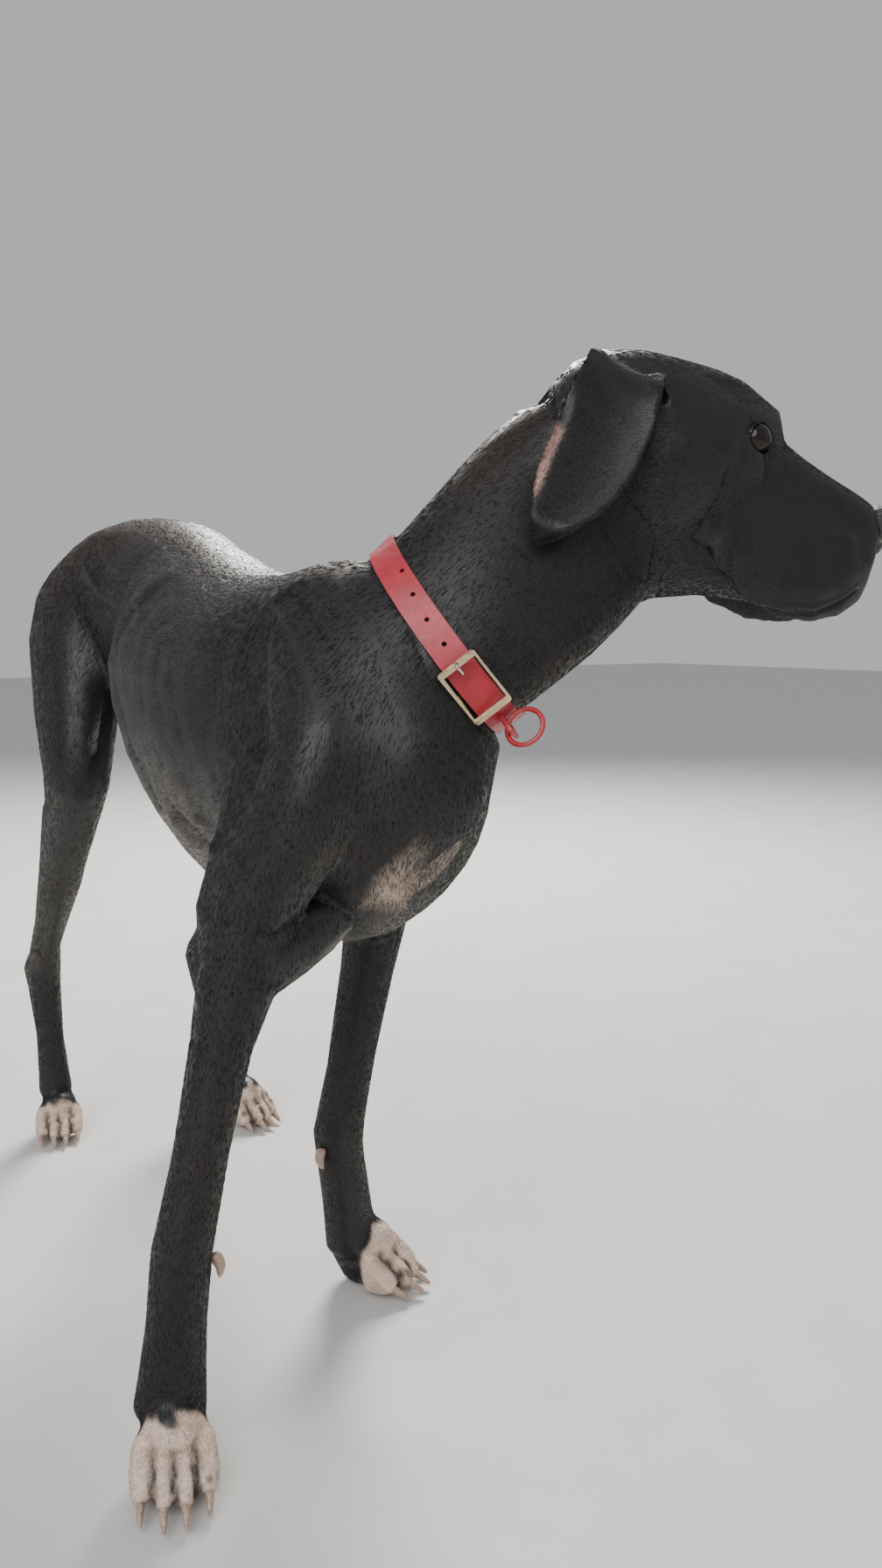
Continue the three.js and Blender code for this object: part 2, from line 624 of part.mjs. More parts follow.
const legNames = ['right', 'left'];
const FORE_SCALE = 1.05;
const HIND_SCALE = 0.92;
let flesh = join(
  trunk(),
  neck(),
  head(),
  ...legNames.flatMap((name) => [
    shoulder(FORELEGS[name]),
    foreleg(FORELEGS[name]),
    paw(FORELEGS[name], FORE_SCALE),
    thigh(HINDLEGS[name], SIDES[name]),
    hindleg(HINDLEGS[name]),
    paw(HINDLEGS[name], HIND_SCALE),
  ]),
);
flesh = cut(flesh, tail(GAP));

function take(name, material, region, ...tools) {
  const piece = flesh.intersect(region(0));
  flesh = cut(flesh, region(GAP));
  add(name, largest(cut(piece, ...tools)), material);
}

const FAR = 600;
const pawTop = 68;
for (const name of legNames) {
  const way = SIDES[name];
  for (const [limbName, leg, scale] of [['fore', FORELEGS[name], FORE_SCALE], ['hind', HINDLEGS[name], HIND_SCALE]]) {
    const [x, y] = leg.paw;
    const place = placeAt([x, y, 0], leg.turn);
    const room = (grow) => block([x - 90, x + 90], [y - 74, y + 74], [0, pawTop * scale], { grow });
    const claws = TOES.map((form) => claw(form, scale, place, GAP));
    flesh = cut(flesh, block([x - 99, x + 99], [y - 99, y + 99], [-90, 0]));
    take(`paw_${limbName}_${name}`, sock, room, ...claws);
    TOES.forEach((form, i) => add(`claw_${limbName}_${name}_${i + 1}`, claw(form, scale, place), nail));
  }
  const sideways = (inner) => (way > 0 ? [inner, FAR] : [-FAR, -inner]);
  const { elbow } = FORELEGS[name];
  const { stifle } = HINDLEGS[name];
  const forearmRoom = (grow) => block([elbow[0] - 140, elbow[0] + 140], sideways(way > 0 ? 4 : 66), [0, 440], { grow });
  const lowerLegRoom = (grow) => block([-300, 240], sideways(20), [0, stifle[2] - 32], { grow });
  const thighRoom = (grow) => thigh(HINDLEGS[name], way, 5 + grow);
  take(`foreleg_${name}`, coat, forearmRoom, dewclaw(FORELEGS[name], way, GAP));
  add(`dewclaw_${name}`, dewclaw(FORELEGS[name], way), nail);
  take(`hindleg_${name}`, coat, lowerLegRoom);
  take(`thigh_${name}`, coat, thighRoom);
}

const ears = legNames.map((name) => earFlap(SIDES[name], 3.0 * GAP));
const eyes = legNames.map((name) => eyeball(SIDES[name], GAP));
const nape = placeAt([626, 175, 800], 80, -30);
const headRoom = (grow) => block([0, FAR], [-FAR, FAR], [-FAR, FAR], { grow, place: nape });
const neckRoom = (grow) => block([-FAR, FAR], [-FAR, FAR], [-COLLAR_WIDTH / 2 - 4, FAR], { grow, place: collarPlace });
take('head', coat, headRoom, ...ears, ...eyes, noseLeather(GAP));
take('neck', coat, neckRoom, ...ears);
add('torso', largest(flesh), coat);

add('nose', largest(cut(noseLeather(), nostril(1), nostril(-1))), leather);
add('tail', tail(), coat);
for (const name of legNames) {
  add(`ear_${name}`, earFlap(SIDES[name]), coat);
  add(`eye_${name}`, eyeball(SIDES[name]), wetEye);
}

// Collar pieces keep clear of the chest, and those that lie on the strap keep clear of it too
const chest = join(trunk(GAP), ...legNames.map((name) => shoulder(FORELEGS[name], GAP)));
const overStrap = neck(2 * GAP + COLLAR_THICKNESS);
add('collar_strap', largest(cut(collarStrap(), chest)), redStrap);
add('collar_buckle', largest(cut(buckle(), overStrap, chest)), brass);
add('collar_prong', prong(), brass);
add('collar_ring', leadRing(), redStrap);
add('collar_keeper', largest(cut(keeper(), overStrap, chest)), redStrap);

// The origin goes to the middle of the footprint, on the floor
const footprint = new THREE.Box3().setFromObject(model);
const middle = footprint.getCenter(new THREE.Vector3());
model.position.set(-middle.x, -middle.y, 0);

export default model;
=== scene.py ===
# %% [markdown]
# # A great dane, standing, in its coat and collar
#
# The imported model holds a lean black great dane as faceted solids, parted into named nodes. Here it gets
# its looks: one smooth skin over all of the flesh, a short glossy coat on the skin, wet eyes, a pebbled
# nose, horn claws, and a red strap with a brass buckle round the neck.

# %% Load the frame
import math

import bpy
import numpy as np
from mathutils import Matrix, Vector
from mathutils.bvhtree import BVHTree


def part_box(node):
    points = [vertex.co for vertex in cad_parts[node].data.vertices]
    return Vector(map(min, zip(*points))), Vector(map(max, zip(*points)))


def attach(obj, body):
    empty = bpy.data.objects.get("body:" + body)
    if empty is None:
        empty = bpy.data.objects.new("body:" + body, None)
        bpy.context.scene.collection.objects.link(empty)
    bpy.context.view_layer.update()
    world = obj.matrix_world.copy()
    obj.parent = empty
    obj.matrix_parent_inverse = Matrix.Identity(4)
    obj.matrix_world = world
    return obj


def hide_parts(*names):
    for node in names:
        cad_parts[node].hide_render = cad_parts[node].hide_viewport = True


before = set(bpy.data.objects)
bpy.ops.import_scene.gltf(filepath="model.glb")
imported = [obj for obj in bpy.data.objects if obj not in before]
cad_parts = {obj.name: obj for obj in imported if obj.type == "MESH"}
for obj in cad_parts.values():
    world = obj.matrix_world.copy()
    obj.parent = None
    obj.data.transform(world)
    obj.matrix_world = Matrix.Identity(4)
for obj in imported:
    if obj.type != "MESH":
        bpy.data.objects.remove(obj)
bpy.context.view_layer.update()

# %% [markdown]
# ## Where things are
#
# The animal was drawn in millimetres in a frame of its trunk: forward, left and up from the floor. The packed
# model has its origin at the middle of its footprint instead. One eye, whose place in the trunk frame is
# known, tells how far the one frame lies from the other, and all later places are written in millimetres in
# the trunk frame or, for the head, in a frame of the head's own.

# %% The trunk frame and the head frame
MM = 0.001
OCCIPUT = Vector((626, 181, 905))
HEAD_TURN = math.radians(64)
HEAD_DIP = math.radians(23)
EYE_IN_HEAD = (158, 41, -4)

head_ahead = Vector((
    math.cos(HEAD_TURN) * math.cos(HEAD_DIP),
    math.sin(HEAD_TURN) * math.cos(HEAD_DIP),
    -math.sin(HEAD_DIP),
))
head_left = Vector((-math.sin(HEAD_TURN), math.cos(HEAD_TURN), 0))
head_up = head_ahead.cross(head_left)


def in_trunk(a, b, c):
    """A place in the head frame, forward, left and up, given in the trunk frame."""
    return OCCIPUT + head_ahead * a + head_left * b + head_up * c


def middle_of(node):
    low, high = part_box(node)
    return (Vector(low) + Vector(high)) / 2


ahead_eye, side_eye, up_eye = EYE_IN_HEAD
origin = middle_of("eye_right") - in_trunk(ahead_eye, -side_eye, up_eye) * MM


def spot(x, y, z):
    """A place in the trunk frame, in millimetres, as a place in the scene."""
    return Vector((x, y, z)) * MM + origin


def head_spot(a, b, c):
    """A place in the head frame, in millimetres, as a place in the scene."""
    return in_trunk(a, b, c) * MM + origin


print("trunk frame starts at", [round(v, 4) for v in origin])

# %% [markdown]
# ## Camera
#
# The photo was taken by a phone held upright at the height of the animal's back, in front of its right
# shoulder and close by, so the near foreleg looks large and the rump small. The camera stands where the lines
# of the legs and the collar agree with the photo, and it comes first, because it decides what is seen.

# %% Camera
CAMERA_PLACE = spot(1420.5, -477.7, 680)
CAMERA_HEADING = math.atan2(0.5446, -0.8387)
CAMERA_DIP = math.radians(7.84)
FRAME_HEIGHT = 1792
FOCAL_PIXELS = 1300
SENSOR = 36
NEAREST_SEEN = 0.02

camera_data = bpy.data.cameras.new("camera")
camera_data.sensor_width = SENSOR
camera_data.lens = SENSOR * FOCAL_PIXELS / FRAME_HEIGHT
camera_data.clip_start = NEAREST_SEEN
camera = bpy.data.objects.new("camera", camera_data)
bpy.context.collection.objects.link(camera)
look = Vector((
    math.cos(CAMERA_HEADING) * math.cos(CAMERA_DIP),
    math.sin(CAMERA_HEADING) * math.cos(CAMERA_DIP),
    -math.sin(CAMERA_DIP),
))
camera.location = CAMERA_PLACE
camera.rotation_euler = look.to_track_quat("-Z", "Y").to_euler()
bpy.context.scene.camera = camera
print("camera", [round(v, 3) for v in CAMERA_PLACE], "lens", round(camera_data.lens, 2))

# %% [markdown]
# ## Hands
#
# A few helpers stand for what a modeller's hands do all the time: let go of everything, take one piece, join
# several, finish a modifier, work on the whole of a piece in edit mode, and move all the points of a mesh.

# %% Helpers for picking and joining
def let_go():
    bpy.ops.object.select_all(action="DESELECT")


def pick(*pieces):
    let_go()
    for piece in pieces:
        piece.select_set(True)
    bpy.context.view_layer.objects.active = pieces[0]


def join(name, pieces):
    pick(*pieces)
    if len(pieces) > 1:
        bpy.ops.object.join()
    whole = bpy.context.object
    whole.name = name
    whole.data.name = name
    return whole


# %% Helpers for applying and smoothing
def finish_modifier(piece, kind, **settings):
    modifier = piece.modifiers.new(kind.lower(), kind)
    for key, value in settings.items():
        setattr(modifier, key, value)
    pick(piece)
    bpy.ops.object.modifier_apply(modifier=modifier.name)


def edit_all(piece, operator, **settings):
    """Runs one operator of edit mode on the whole of a piece."""
    pick(piece)
    bpy.ops.object.mode_set(mode="EDIT")
    bpy.ops.mesh.select_all(action="SELECT")
    operator(**settings)
    bpy.ops.object.mode_set(mode="OBJECT")


def settle(piece):
    """Puts the piece's place, turn and size into its mesh."""
    pick(piece)
    bpy.ops.object.transform_apply(location=True, rotation=True, scale=True)


def smooth(piece, up_to=None):
    """Shades a piece smooth all over, or only across edges that bend by less than an angle in degrees."""
    pick(piece)
    if up_to:
        bpy.ops.object.shade_smooth_by_angle(angle=math.radians(up_to))
    else:
        bpy.ops.object.shade_smooth()


def triangles(piece):
    return sum(len(polygon.vertices) - 2 for polygon in piece.data.polygons)


# %% Helpers for moving points
def values_of(items, what, width=3):
    values = np.empty(len(items) * width)
    items.foreach_get(what, values)
    return values.reshape(-1, width)


def points_of(piece):
    return values_of(piece.data.vertices, "co")


def normals_of(piece):
    return values_of(piece.data.vertex_normals, "vector")


def move_points(piece, points):
    piece.data.vertices.foreach_set("co", points.ravel())
    piece.data.update()


# %% Distances and soft masks
FAR_AWAY = 1e9
shift = np.array(origin)
head_axes = np.array([head_ahead, head_left, head_up])


def trunk_mm(points):
    return (points - shift) / MM


def head_mm(points):
    return (trunk_mm(points) - np.array(OCCIPUT)) @ head_axes.T


def bell(distance, reach):
    return np.exp(-((distance / reach) ** 2))


def far_from(points, place):
    return np.linalg.norm(points - np.array(place), axis=1)


def far_from_line(points, line):
    """Distance from each point to a bent line."""
    nearest = np.full(len(points), FAR_AWAY)
    for start, end in zip(line[:-1], line[1:]):
        start = np.array(start, float)
        along = np.array(end, float) - start
        share = np.clip((points - start) @ along / (along @ along), 0, 1)
        nearest = np.minimum(nearest, np.linalg.norm(points - start - share[:, None] * along, axis=1))
    return nearest


def beside(head):
    """Head-frame places with both sides laid on the left one."""
    return head * np.array([1, 0, 1]) + np.abs(head) * np.array([0, 1, 0])


def from_eye(points):
    """Distance of each point from the middle of the nearer eye."""
    return far_from(beside(head_mm(points)), EYE_IN_HEAD)


def smooth_step(value, low, high):
    share = np.clip((value - low) / (high - low), 0, 1)
    return share * share * (3 - 2 * share)


def mirrored(line):
    return [(x, -y, z) for x, y, z in line]


# %% [markdown]
# ## Ears
#
# A great dane's natural ear is a thin, soft triangle of skin that stands up from the back corner of the skull
# for a finger's width, folds over and hangs down the cheek. Its front edge lies flat and its rear edge curls
# out, so that a little of the bare pinkish inside shows. A grid is laid along the ear like a cloth, its
# points are moved to the ear's shape, and Solidify gives the flap its thickness.

# %% The ear's course in the head frame: a centre line, a half width, and how far the edges bow
EAR_COURSE = [
    {"at": (30, 40, 4), "wide": 30, "bow": 0},
    {"at": (30, 52, -2), "wide": 35, "bow": -3},
    {"at": (27, 68, -9), "wide": 38, "bow": -9},
    {"at": (25, 79, -26), "wide": 39, "bow": -12},
    {"at": (23, 84, -44), "wide": 41, "bow": -11},
    {"at": (22, 89, -66), "wide": 42, "bow": -9},
    {"at": (20, 94, -98), "wide": 41, "bow": -7},
    {"at": (17, 99, -128), "wide": 33, "bow": -5},
    {"at": (13, 101, -153), "wide": 20, "bow": -3},
    {"at": (11, 102, -175), "wide": 3, "bow": 0},
]
EAR_ROWS = 44
EAR_COLUMNS = 26
EAR_THICKNESS = 0.0052


def along_course(course, key, share):
    """A value of the course at a share of its length, on a smooth curve through the given ones."""
    values = np.array([np.atleast_1d(entry[key]) for entry in course], float)
    place = share * (len(values) - 1)
    i = np.clip(place.astype(int), 0, len(values) - 2)
    t = (place - i)[:, None]
    before, start = values[np.maximum(i - 1, 0)], values[i]
    end, after = values[i + 1], values[np.minimum(i + 2, len(values) - 1)]
    bend = (2 * before - 5 * start + 4 * end - after) * t**2 + (3 * start - before - 3 * end + after) * t**3
    return start + 0.5 * ((end - before) * t + bend)


# %% The folds of the flap, in shares of its width and length, and how far they push it, in millimetres
REAR_CURL = {"across": (0.55, 1.0), "along": 0.62, "reach": 0.17, "push": 15, "narrower": 0.16}
FRONT_CREASE = {"across": 0.55, "reach": 0.16, "fades": (0.25, 0.5), "push": 2}
FOLD_CORNER = {"across": (0.2, 1), "along": 0.25, "reach": 0.13, "push": -2, "narrower": 0.11}
SLOPE_STEP = 0.01
SIDES = {"right": -1, "left": 1}


def fold_share(across, along, fold):
    """How much of a fold there is at each point of the flap."""
    return smooth_step(across, *fold["across"]) * bell(along - fold["along"], fold["reach"])


def ear(way):
    let_go()
    bpy.ops.mesh.primitive_grid_add(
        x_subdivisions=EAR_COLUMNS, y_subdivisions=EAR_ROWS, size=2, location=(0, 0, 0))
    flap = bpy.context.object
    points = points_of(flap)
    across, share = points[:, 0], (points[:, 1] + 1) / 2
    centre = along_course(EAR_COURSE, "at", share)
    wide = along_course(EAR_COURSE, "wide", share)[:, 0]
    bow = along_course(EAR_COURSE, "bow", share)[:, 0]
    slope = along_course(EAR_COURSE, "at", np.clip(share + SLOPE_STEP, 0, 1))
    slope = slope - along_course(EAR_COURSE, "at", np.clip(share - SLOPE_STEP, 0, 1))
    slope /= np.linalg.norm(slope, axis=1)[:, None]
    outward = np.cross(np.array([1.0, 0, 0]), slope) * -1
    outward[:, 0] = 0
    curl = fold_share(-across, share, REAR_CURL)
    corner = fold_share(across, share, FOLD_CORNER)
    crease = bell(across - FRONT_CREASE["across"], FRONT_CREASE["reach"])
    crease = crease * (1 - smooth_step(share, *FRONT_CREASE["fades"]))
    push = REAR_CURL["push"] * curl + FRONT_CREASE["push"] * crease + FOLD_CORNER["push"] * corner
    local = centre + outward * (bow * across**2 + push)[:, None]
    local[:, 0] += wide * across * (1 - REAR_CURL["narrower"] * curl - FOLD_CORNER["narrower"] * corner)
    local[:, 1] *= way
    move_points(flap, np.array([head_spot(*place) for place in local]))
    edit_all(flap, bpy.ops.mesh.normals_make_consistent, inside=False)
    finish_modifier(flap, "SOLIDIFY", thickness=EAR_THICKNESS, offset=0)
    return flap


ears = [ear(way) for way in SIDES.values()]
print("ears", [triangles(flap) for flap in ears], "triangles")

# %% [markdown]
# ## Skin: one body from the parted flesh
#
# The solids are parted by thin cuts, so that each has a name. Skin has no cuts. Copies of the flesh nodes are
# joined with the two ears, a voxel remesh melts them into one closed body, and a relaxing step takes the
# facets away: strongly on the broad trunk, where facets are wide, and only a little on the head and the toes,
# which have small forms.

# %% Copy the flesh nodes
FLESH_WORDS = ("torso", "neck", "head", "thigh", "foreleg", "hindleg", "paw", "tail")
flesh_nodes = [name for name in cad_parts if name.split("_")[0] in FLESH_WORDS]
WELD = 0.00002


def copy_node(node):
    piece = bpy.data.objects.new("copy_" + node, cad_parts[node].data.copy())
    piece.data.materials.clear()
    bpy.context.collection.objects.link(piece)
    edit_all(piece, bpy.ops.mesh.remove_doubles, threshold=WELD)
    return piece


skin = join("skin", [copy_node(node) for node in flesh_nodes] + ears)
print("flesh nodes", len(flesh_nodes), "triangles", triangles(skin))

# %% Melt the copies into one body
VOXEL = 0.0024
finish_modifier(skin, "REMESH", mode="VOXEL", voxel_size=VOXEL, adaptivity=0)
print("melted skin", len(skin.data.vertices), "points")

# %% A brush that relaxes
WEIGHT_STEPS = 40


def weigh(piece, name, weights):
    """A vertex group with the given weight at each point, in even steps."""
    group = piece.vertex_groups.new(name=name)
    steps = np.round(weights * WEIGHT_STEPS).astype(int)
    for step in np.unique(steps):
        group.add(np.nonzero(steps == step)[0].tolist(), float(step) / WEIGHT_STEPS, "REPLACE")


def relax(piece, strength, rounds):
    """Each round moves every point towards the middle of its neighbours, by its own strength."""
    most = float(strength.max())
    weigh(piece, "relax", strength / most)
    finish_modifier(piece, "SMOOTH", factor=most, iterations=rounds, vertex_group="relax")
    piece.vertex_groups.clear()


# %% Where the ears hang
EAR_MIDDLE = 20
EAR_HALF_WIDTH = 40
EAR_REACH = 13


def ear_nearness(points):
    """1 on the hanging flaps of the ears, which are too thin to be relaxed much."""
    head = head_mm(points)
    head[:, 1] = np.abs(head[:, 1])
    course = [entry["at"] for entry in EAR_COURSE[3:]]
    fold = course[0][0]
    beyond = np.maximum(np.abs(head[:, 0] - EAR_MIDDLE) - EAR_HALF_WIDTH, 0)
    head[:, 0] = fold + np.sign(head[:, 0] - fold) * beyond
    return bell(far_from_line(head, course), EAR_REACH)


# %% How broad the form is: where each part begins and ends, and how much it may be relaxed
SKULL_BEGINS = (-30, 50)
HEAD_HEIGHTS = (600, 660)
TRUNK_HEIGHTS = (430, 520)
PAW_ENDS = (44, 92)
MUZZLE_BEGINS = (185, 260)
THROAT = [(60, 0, -150), (130, 0, -128)]
THROAT_REACH = 52
ELBOWS_AND_STIFLES = [(578, -126, 436), (435, 100, 440), (44, -118, 455), (92, 105, 455)]
JOINT_REACH = 66
SOFT = {"paws": 0.06, "more on legs": 0.44, "skull": 0.3, "less on muzzle": 0.14, "joints": 0.9,
        "less on ears": 0.9}


def broadness(points):
    """1 on the trunk and the neck, less on the legs and the skull, least on the paws and the muzzle."""
    body = trunk_mm(points)
    head = head_mm(points)
    on_head = smooth_step(head[:, 0], *SKULL_BEGINS) * smooth_step(body[:, 2], *HEAD_HEIGHTS)
    trunk = smooth_step(body[:, 2], *TRUNK_HEIGHTS)
    legs = SOFT["paws"] + SOFT["more on legs"] * smooth_step(body[:, 2], *PAW_ENDS)
    skull = SOFT["skull"] - SOFT["less on muzzle"] * smooth_step(head[:, 0], *MUZZLE_BEGINS)
    throat = bell(far_from_line(head, THROAT), THROAT_REACH)
    joints = np.max([bell(far_from(body, place), JOINT_REACH) for place in ELBOWS_AND_STIFLES], axis=0)
    soft = np.maximum(np.maximum(trunk, legs) * (1 - on_head), skull * on_head)
    soft = np.maximum(soft, SOFT["joints"] * np.maximum(throat, joints))
    return soft * (1 - SOFT["less on ears"] * ear_nearness(points))


# %% Relax the facets away
FACET_WIDTH = 0.013
ROUNDS_PER_FACET = 4
TRUNK_PULL = 0.5
rounds = round(ROUNDS_PER_FACET * (FACET_WIDTH / VOXEL) ** 2)
relax(skin, TRUNK_PULL * broadness(points_of(skin)), rounds)
print("relaxed in", rounds, "rounds")

# %% [markdown]
# ## Forms of the body
#
# Under a short coat every muscle, rib and fold shows. A sculptor's brush raises a ridge or sinks a furrow
# along its stroke. Here a stroke is a bent line with a height and a reach, and each point of the skin is
# moved along its normal by the strokes that pass near it.

# %% The brush
def stroke(points, normals, place, line, height, reach):
    points += normals * (height * MM * bell(far_from_line(place, line), reach))[:, None]


# %% Strokes on the body, in the trunk frame, with their height and reach; each is made on both sides
BODY_STROKES = {
    "edge of the shoulder blade": ([(566, -28, 736), (540, -46, 718), (523, -68, 700), (511, -84, 676),
                                    (508, -92, 650)], 4.5, 9),
    "hollow behind the blade": ([(530, -40, 745), (498, -74, 705), (484, -98, 660), (486, -108, 610)],
                                -4, 17),
    "spine of the blade": ([(548, -66, 690), (575, -92, 640), (612, -98, 580)], 3, 11),
    "triceps": ([(530, -112, 600), (545, -124, 540), (560, -128, 490)], 4, 26),
    "groove before the triceps": ([(566, -108, 600), (588, -124, 530), (590, -130, 490)], -2.5, 10),
    "last rib": ([(267, -67, 735), (262, -90, 713), (245, -105, 693), (239, -117, 658), (262, -126, 611),
                  (300, -124, 560), (350, -112, 500)], 4, 9),
    "hollow of the flank": ([(196, -84, 712), (186, -104, 670), (196, -108, 610), (232, -92, 560)], -7, 28),
    "flank fold": ([(83, -102, 742), (150, -110, 708), (228, -110, 688)], 2.6, 7),
    "belly fold": ([(388, -110, 496), (430, -104, 474), (500, -110, 468), (560, -130, 474)], 4, 6),
    "furrow over the belly fold": ([(400, -112, 508), (450, -110, 486), (520, -122, 484)], -3, 6),
    "elbow fold": ([(444, -109, 506), (500, -118, 496), (556, -132, 503)], 3, 5),
    "hip bone": ([(84, -76, 776), (66, -84, 770)], 6, 15),
    "hollow before the hip": ([(126, -66, 768), (118, -88, 738)], -4, 20),
    "seat bone": ([(-62, -48, 706), (-66, -56, 694)], 4, 14),
    "skin to the stifle": ([(170, -98, 566), (132, -116, 530)], 4, 11),
    "thigh groove": ([(6, -138, 668), (34, -150, 590), (66, -146, 500), (60, -136, 440)], -3, 11),
    "thigh front": ([(96, -118, 660), (112, -132, 580), (108, -136, 520)], 3, 20),
    "kneecap": ([(112, -118, 512), (108, -118, 496)], 3.5, 11),
    "throat fold": ([(704, 118, 690), (705, 104, 672), (701, 90, 650), (690, 76, 630)], 3.2, 6),
    "furrow by the throat fold": ([(692, 118, 698), (692, 100, 672), (686, 82, 640)], -2.5, 6),
    "jugular groove": ([(700, 176, 790), (672, 110, 720), (640, 40, 650)], -2.5, 14),
    "point of the shoulder": ([(650, -76, 578), (646, -80, 562)], 3.5, 16),
}
RIB_COUNT = 6
RIB_STEP = 36
RIB_RELIEF = (1.3, 9)

# %% Strokes on the legs, each made once, because every leg stands in its own way
LEG_STROKES = {
    "front of the right wrist": ([(603, -188, 196), (603, -190, 176)], 2.5, 12),
    "pad behind the right wrist": ([(570, -186, 166), (570, -187, 160)], 5, 8),
    "top of the right forearm": ([(612, -108, 410), (610, -120, 372)], 5, 24),
    "rear of the right upper arm": ([(548, -140, 486), (546, -148, 452)], 7, 24),
    "right forearm groove": ([(584, -152, 380), (590, -176, 250)], -2, 8),
    "front of the left wrist": ([(458, 32, 182), (458, 32, 164)], 2.5, 12),
    "pad behind the left wrist": ([(424, 36, 150), (424, 37, 144)], 5, 8),
    "left forearm groove": ([(446, 68, 370), (450, 44, 250)], -2, 8),
}
HOCK_TOP = 400
HOCK_RELIEF = {"hollow": (-6, 9), "tendon": (1.6, 8), "point": (5, 12)}
HOCKS = {
    "right": {
        "hollow": [(38, 0, 372), (-30, 0, 304), (-74, 0, 258)],
        "tendon": [(4, 0, 372), (-66, 0, 300), (-108, 0, 250)],
        "point": [(-124, 0, 236), (-122, 0, 228)],
        "across": (-190, -40),
    },
    "left": {
        "hollow": [(84, 0, 372), (34, 0, 306), (4, 0, 262)],
        "tendon": [(50, 0, 372), (0, 0, 302), (-30, 0, 254)],
        "point": [(-48, 0, 240), (-46, 0, 232)],
        "across": (20, 160),
    },
}

# %% Strokes on the paws, each in the paw's own frame; the outer toes are set back
PAWS = {
    "fore_right": {"at": (606, -204), "turn": -20, "size": 1.05, "top": 60, "back": -8},
    "fore_left": {"at": (447, 66), "turn": 36, "size": 1.05, "top": 76, "back": -4},
    "hind_right": {"at": (-91, -113), "turn": -15, "size": 0.92, "top": 54, "back": 0},
    "hind_left": {"at": (8, 116), "turn": 12, "size": 0.92, "top": 58, "back": -4},
}
TOES = {-24: -10, -7.7: 0, 7.7: 0, 24: -10}
TOE_STROKES = {
    "knuckle": ([(16, 46), (22, 44)], 2.4, 7),
    "dip before the knuckle": ([(34, 35), (36, 33)], -1.3, 5.5),
    "tip": ([(46, 20), (50, 14)], 1.2, 6),
}
TOE_GAPS = (-16, 0, 16)
GAP_STROKE = ([(10, 46), (30, 34), (42, 16)], -2.2, 3)


def in_paw(place, form):
    turn = math.radians(form["turn"])
    x, y = place[:, 0] - form["at"][0], place[:, 1] - form["at"][1]
    ahead = x * math.cos(turn) + y * math.sin(turn)
    aside = y * math.cos(turn) - x * math.sin(turn)
    return np.stack([ahead, aside, place[:, 2]], axis=1) / form["size"]


# %% Make the strokes on the body, the legs and the paws
def sculpt_trunk(points, normals, place):
    for line, height, reach in BODY_STROKES.values():
        stroke(points, normals, place, line, height, reach)
        stroke(points, normals, place, mirrored(line), height, reach)
    rib = BODY_STROKES["last rib"][0][1:]
    for number in range(1, RIB_COUNT):
        moved = [(x + number * RIB_STEP, y, z) for x, y, z in rib]
        stroke(points, normals, place, moved, *RIB_RELIEF)
        stroke(points, normals, place, mirrored(moved), *RIB_RELIEF)


def sculpt_legs(points, normals, place):
    for line, height, reach in LEG_STROKES.values():
        stroke(points, normals, place, line, height, reach)
    flat = place * np.array([1, 0, 1])
    for hock in HOCKS.values():
        low, high = hock["across"]
        on_leg = (place[:, 1] > low) & (place[:, 1] < high) & (place[:, 2] < HOCK_TOP)
        for form, (height, reach) in HOCK_RELIEF.items():
            share = on_leg * np.abs(normals[:, 1]) if form == "hollow" else on_leg
            points += normals * (share * height * MM * bell(far_from_line(flat, hock[form]), reach))[:, None]


def sculpt_paws(points, normals, place):
    for form in PAWS.values():
        paw = in_paw(place, form)
        for aside, set_back in TOES.items():
            for line, height, reach in TOE_STROKES.values():
                stroke(points, normals, paw, [(x + set_back, aside, z) for x, z in line], height, reach)
        line, height, reach = GAP_STROKE
        for aside in TOE_GAPS:
            stroke(points, normals, paw, [(x, aside, z) for x, z in line], height, reach)


points, normals = points_of(skin), normals_of(skin)
place = trunk_mm(points)
sculpt_trunk(points, normals, place)
sculpt_legs(points, normals, place)
sculpt_paws(points, normals, place)
move_points(skin, points)
print("body strokes", 2 * len(BODY_STROKES) + 2 * (RIB_COUNT - 1) + len(LEG_STROKES) + 3 * len(HOCKS))

# %% [markdown]
# ## Forms of the head
#
# The head is a hand's length from the eye of whoever looks at it, so it gets the finest mesh. The faces round
# the eyes, nose, lips and ears are cut in four before the strokes are made, and those round the eyes twice
# more.

# %% Cut chosen parts of the mesh finer
def refine(piece, chosen):
    pick(piece)
    bpy.context.tool_settings.mesh_select_mode = (True, False, False)
    piece.data.polygons.foreach_set("select", np.zeros(len(piece.data.polygons), bool))
    piece.data.edges.foreach_set("select", np.zeros(len(piece.data.edges), bool))
    piece.data.vertices.foreach_set("select", chosen)
    bpy.ops.object.mode_set(mode="EDIT")
    bpy.ops.mesh.select_mode(type="VERT")
    bpy.ops.mesh.subdivide(number_cuts=1, quadcorner="INNERVERT")
    bpy.ops.object.mode_set(mode="OBJECT")


LIP_LINE = [(310, 8, -70), (303, 29, -82), (290, 34, -101), (270, 39, -117), (236, 42, -130), (204, 41, -136),
            (186, 42, -124), (170, 46, -108)]
EAR_ROOT = [(30, 52, -2), (62, 62, -10)]
FINE = {"muzzle from": 235, "jaw down to": -150, "round the eye": 34, "by the lips": 14, "by the ear": 20}
FINEST_ROUND_EYE = (24, 20)
FACE_PULL = 0.4
LEAST_PULL = 0.01
FACE_ROUNDS = 4


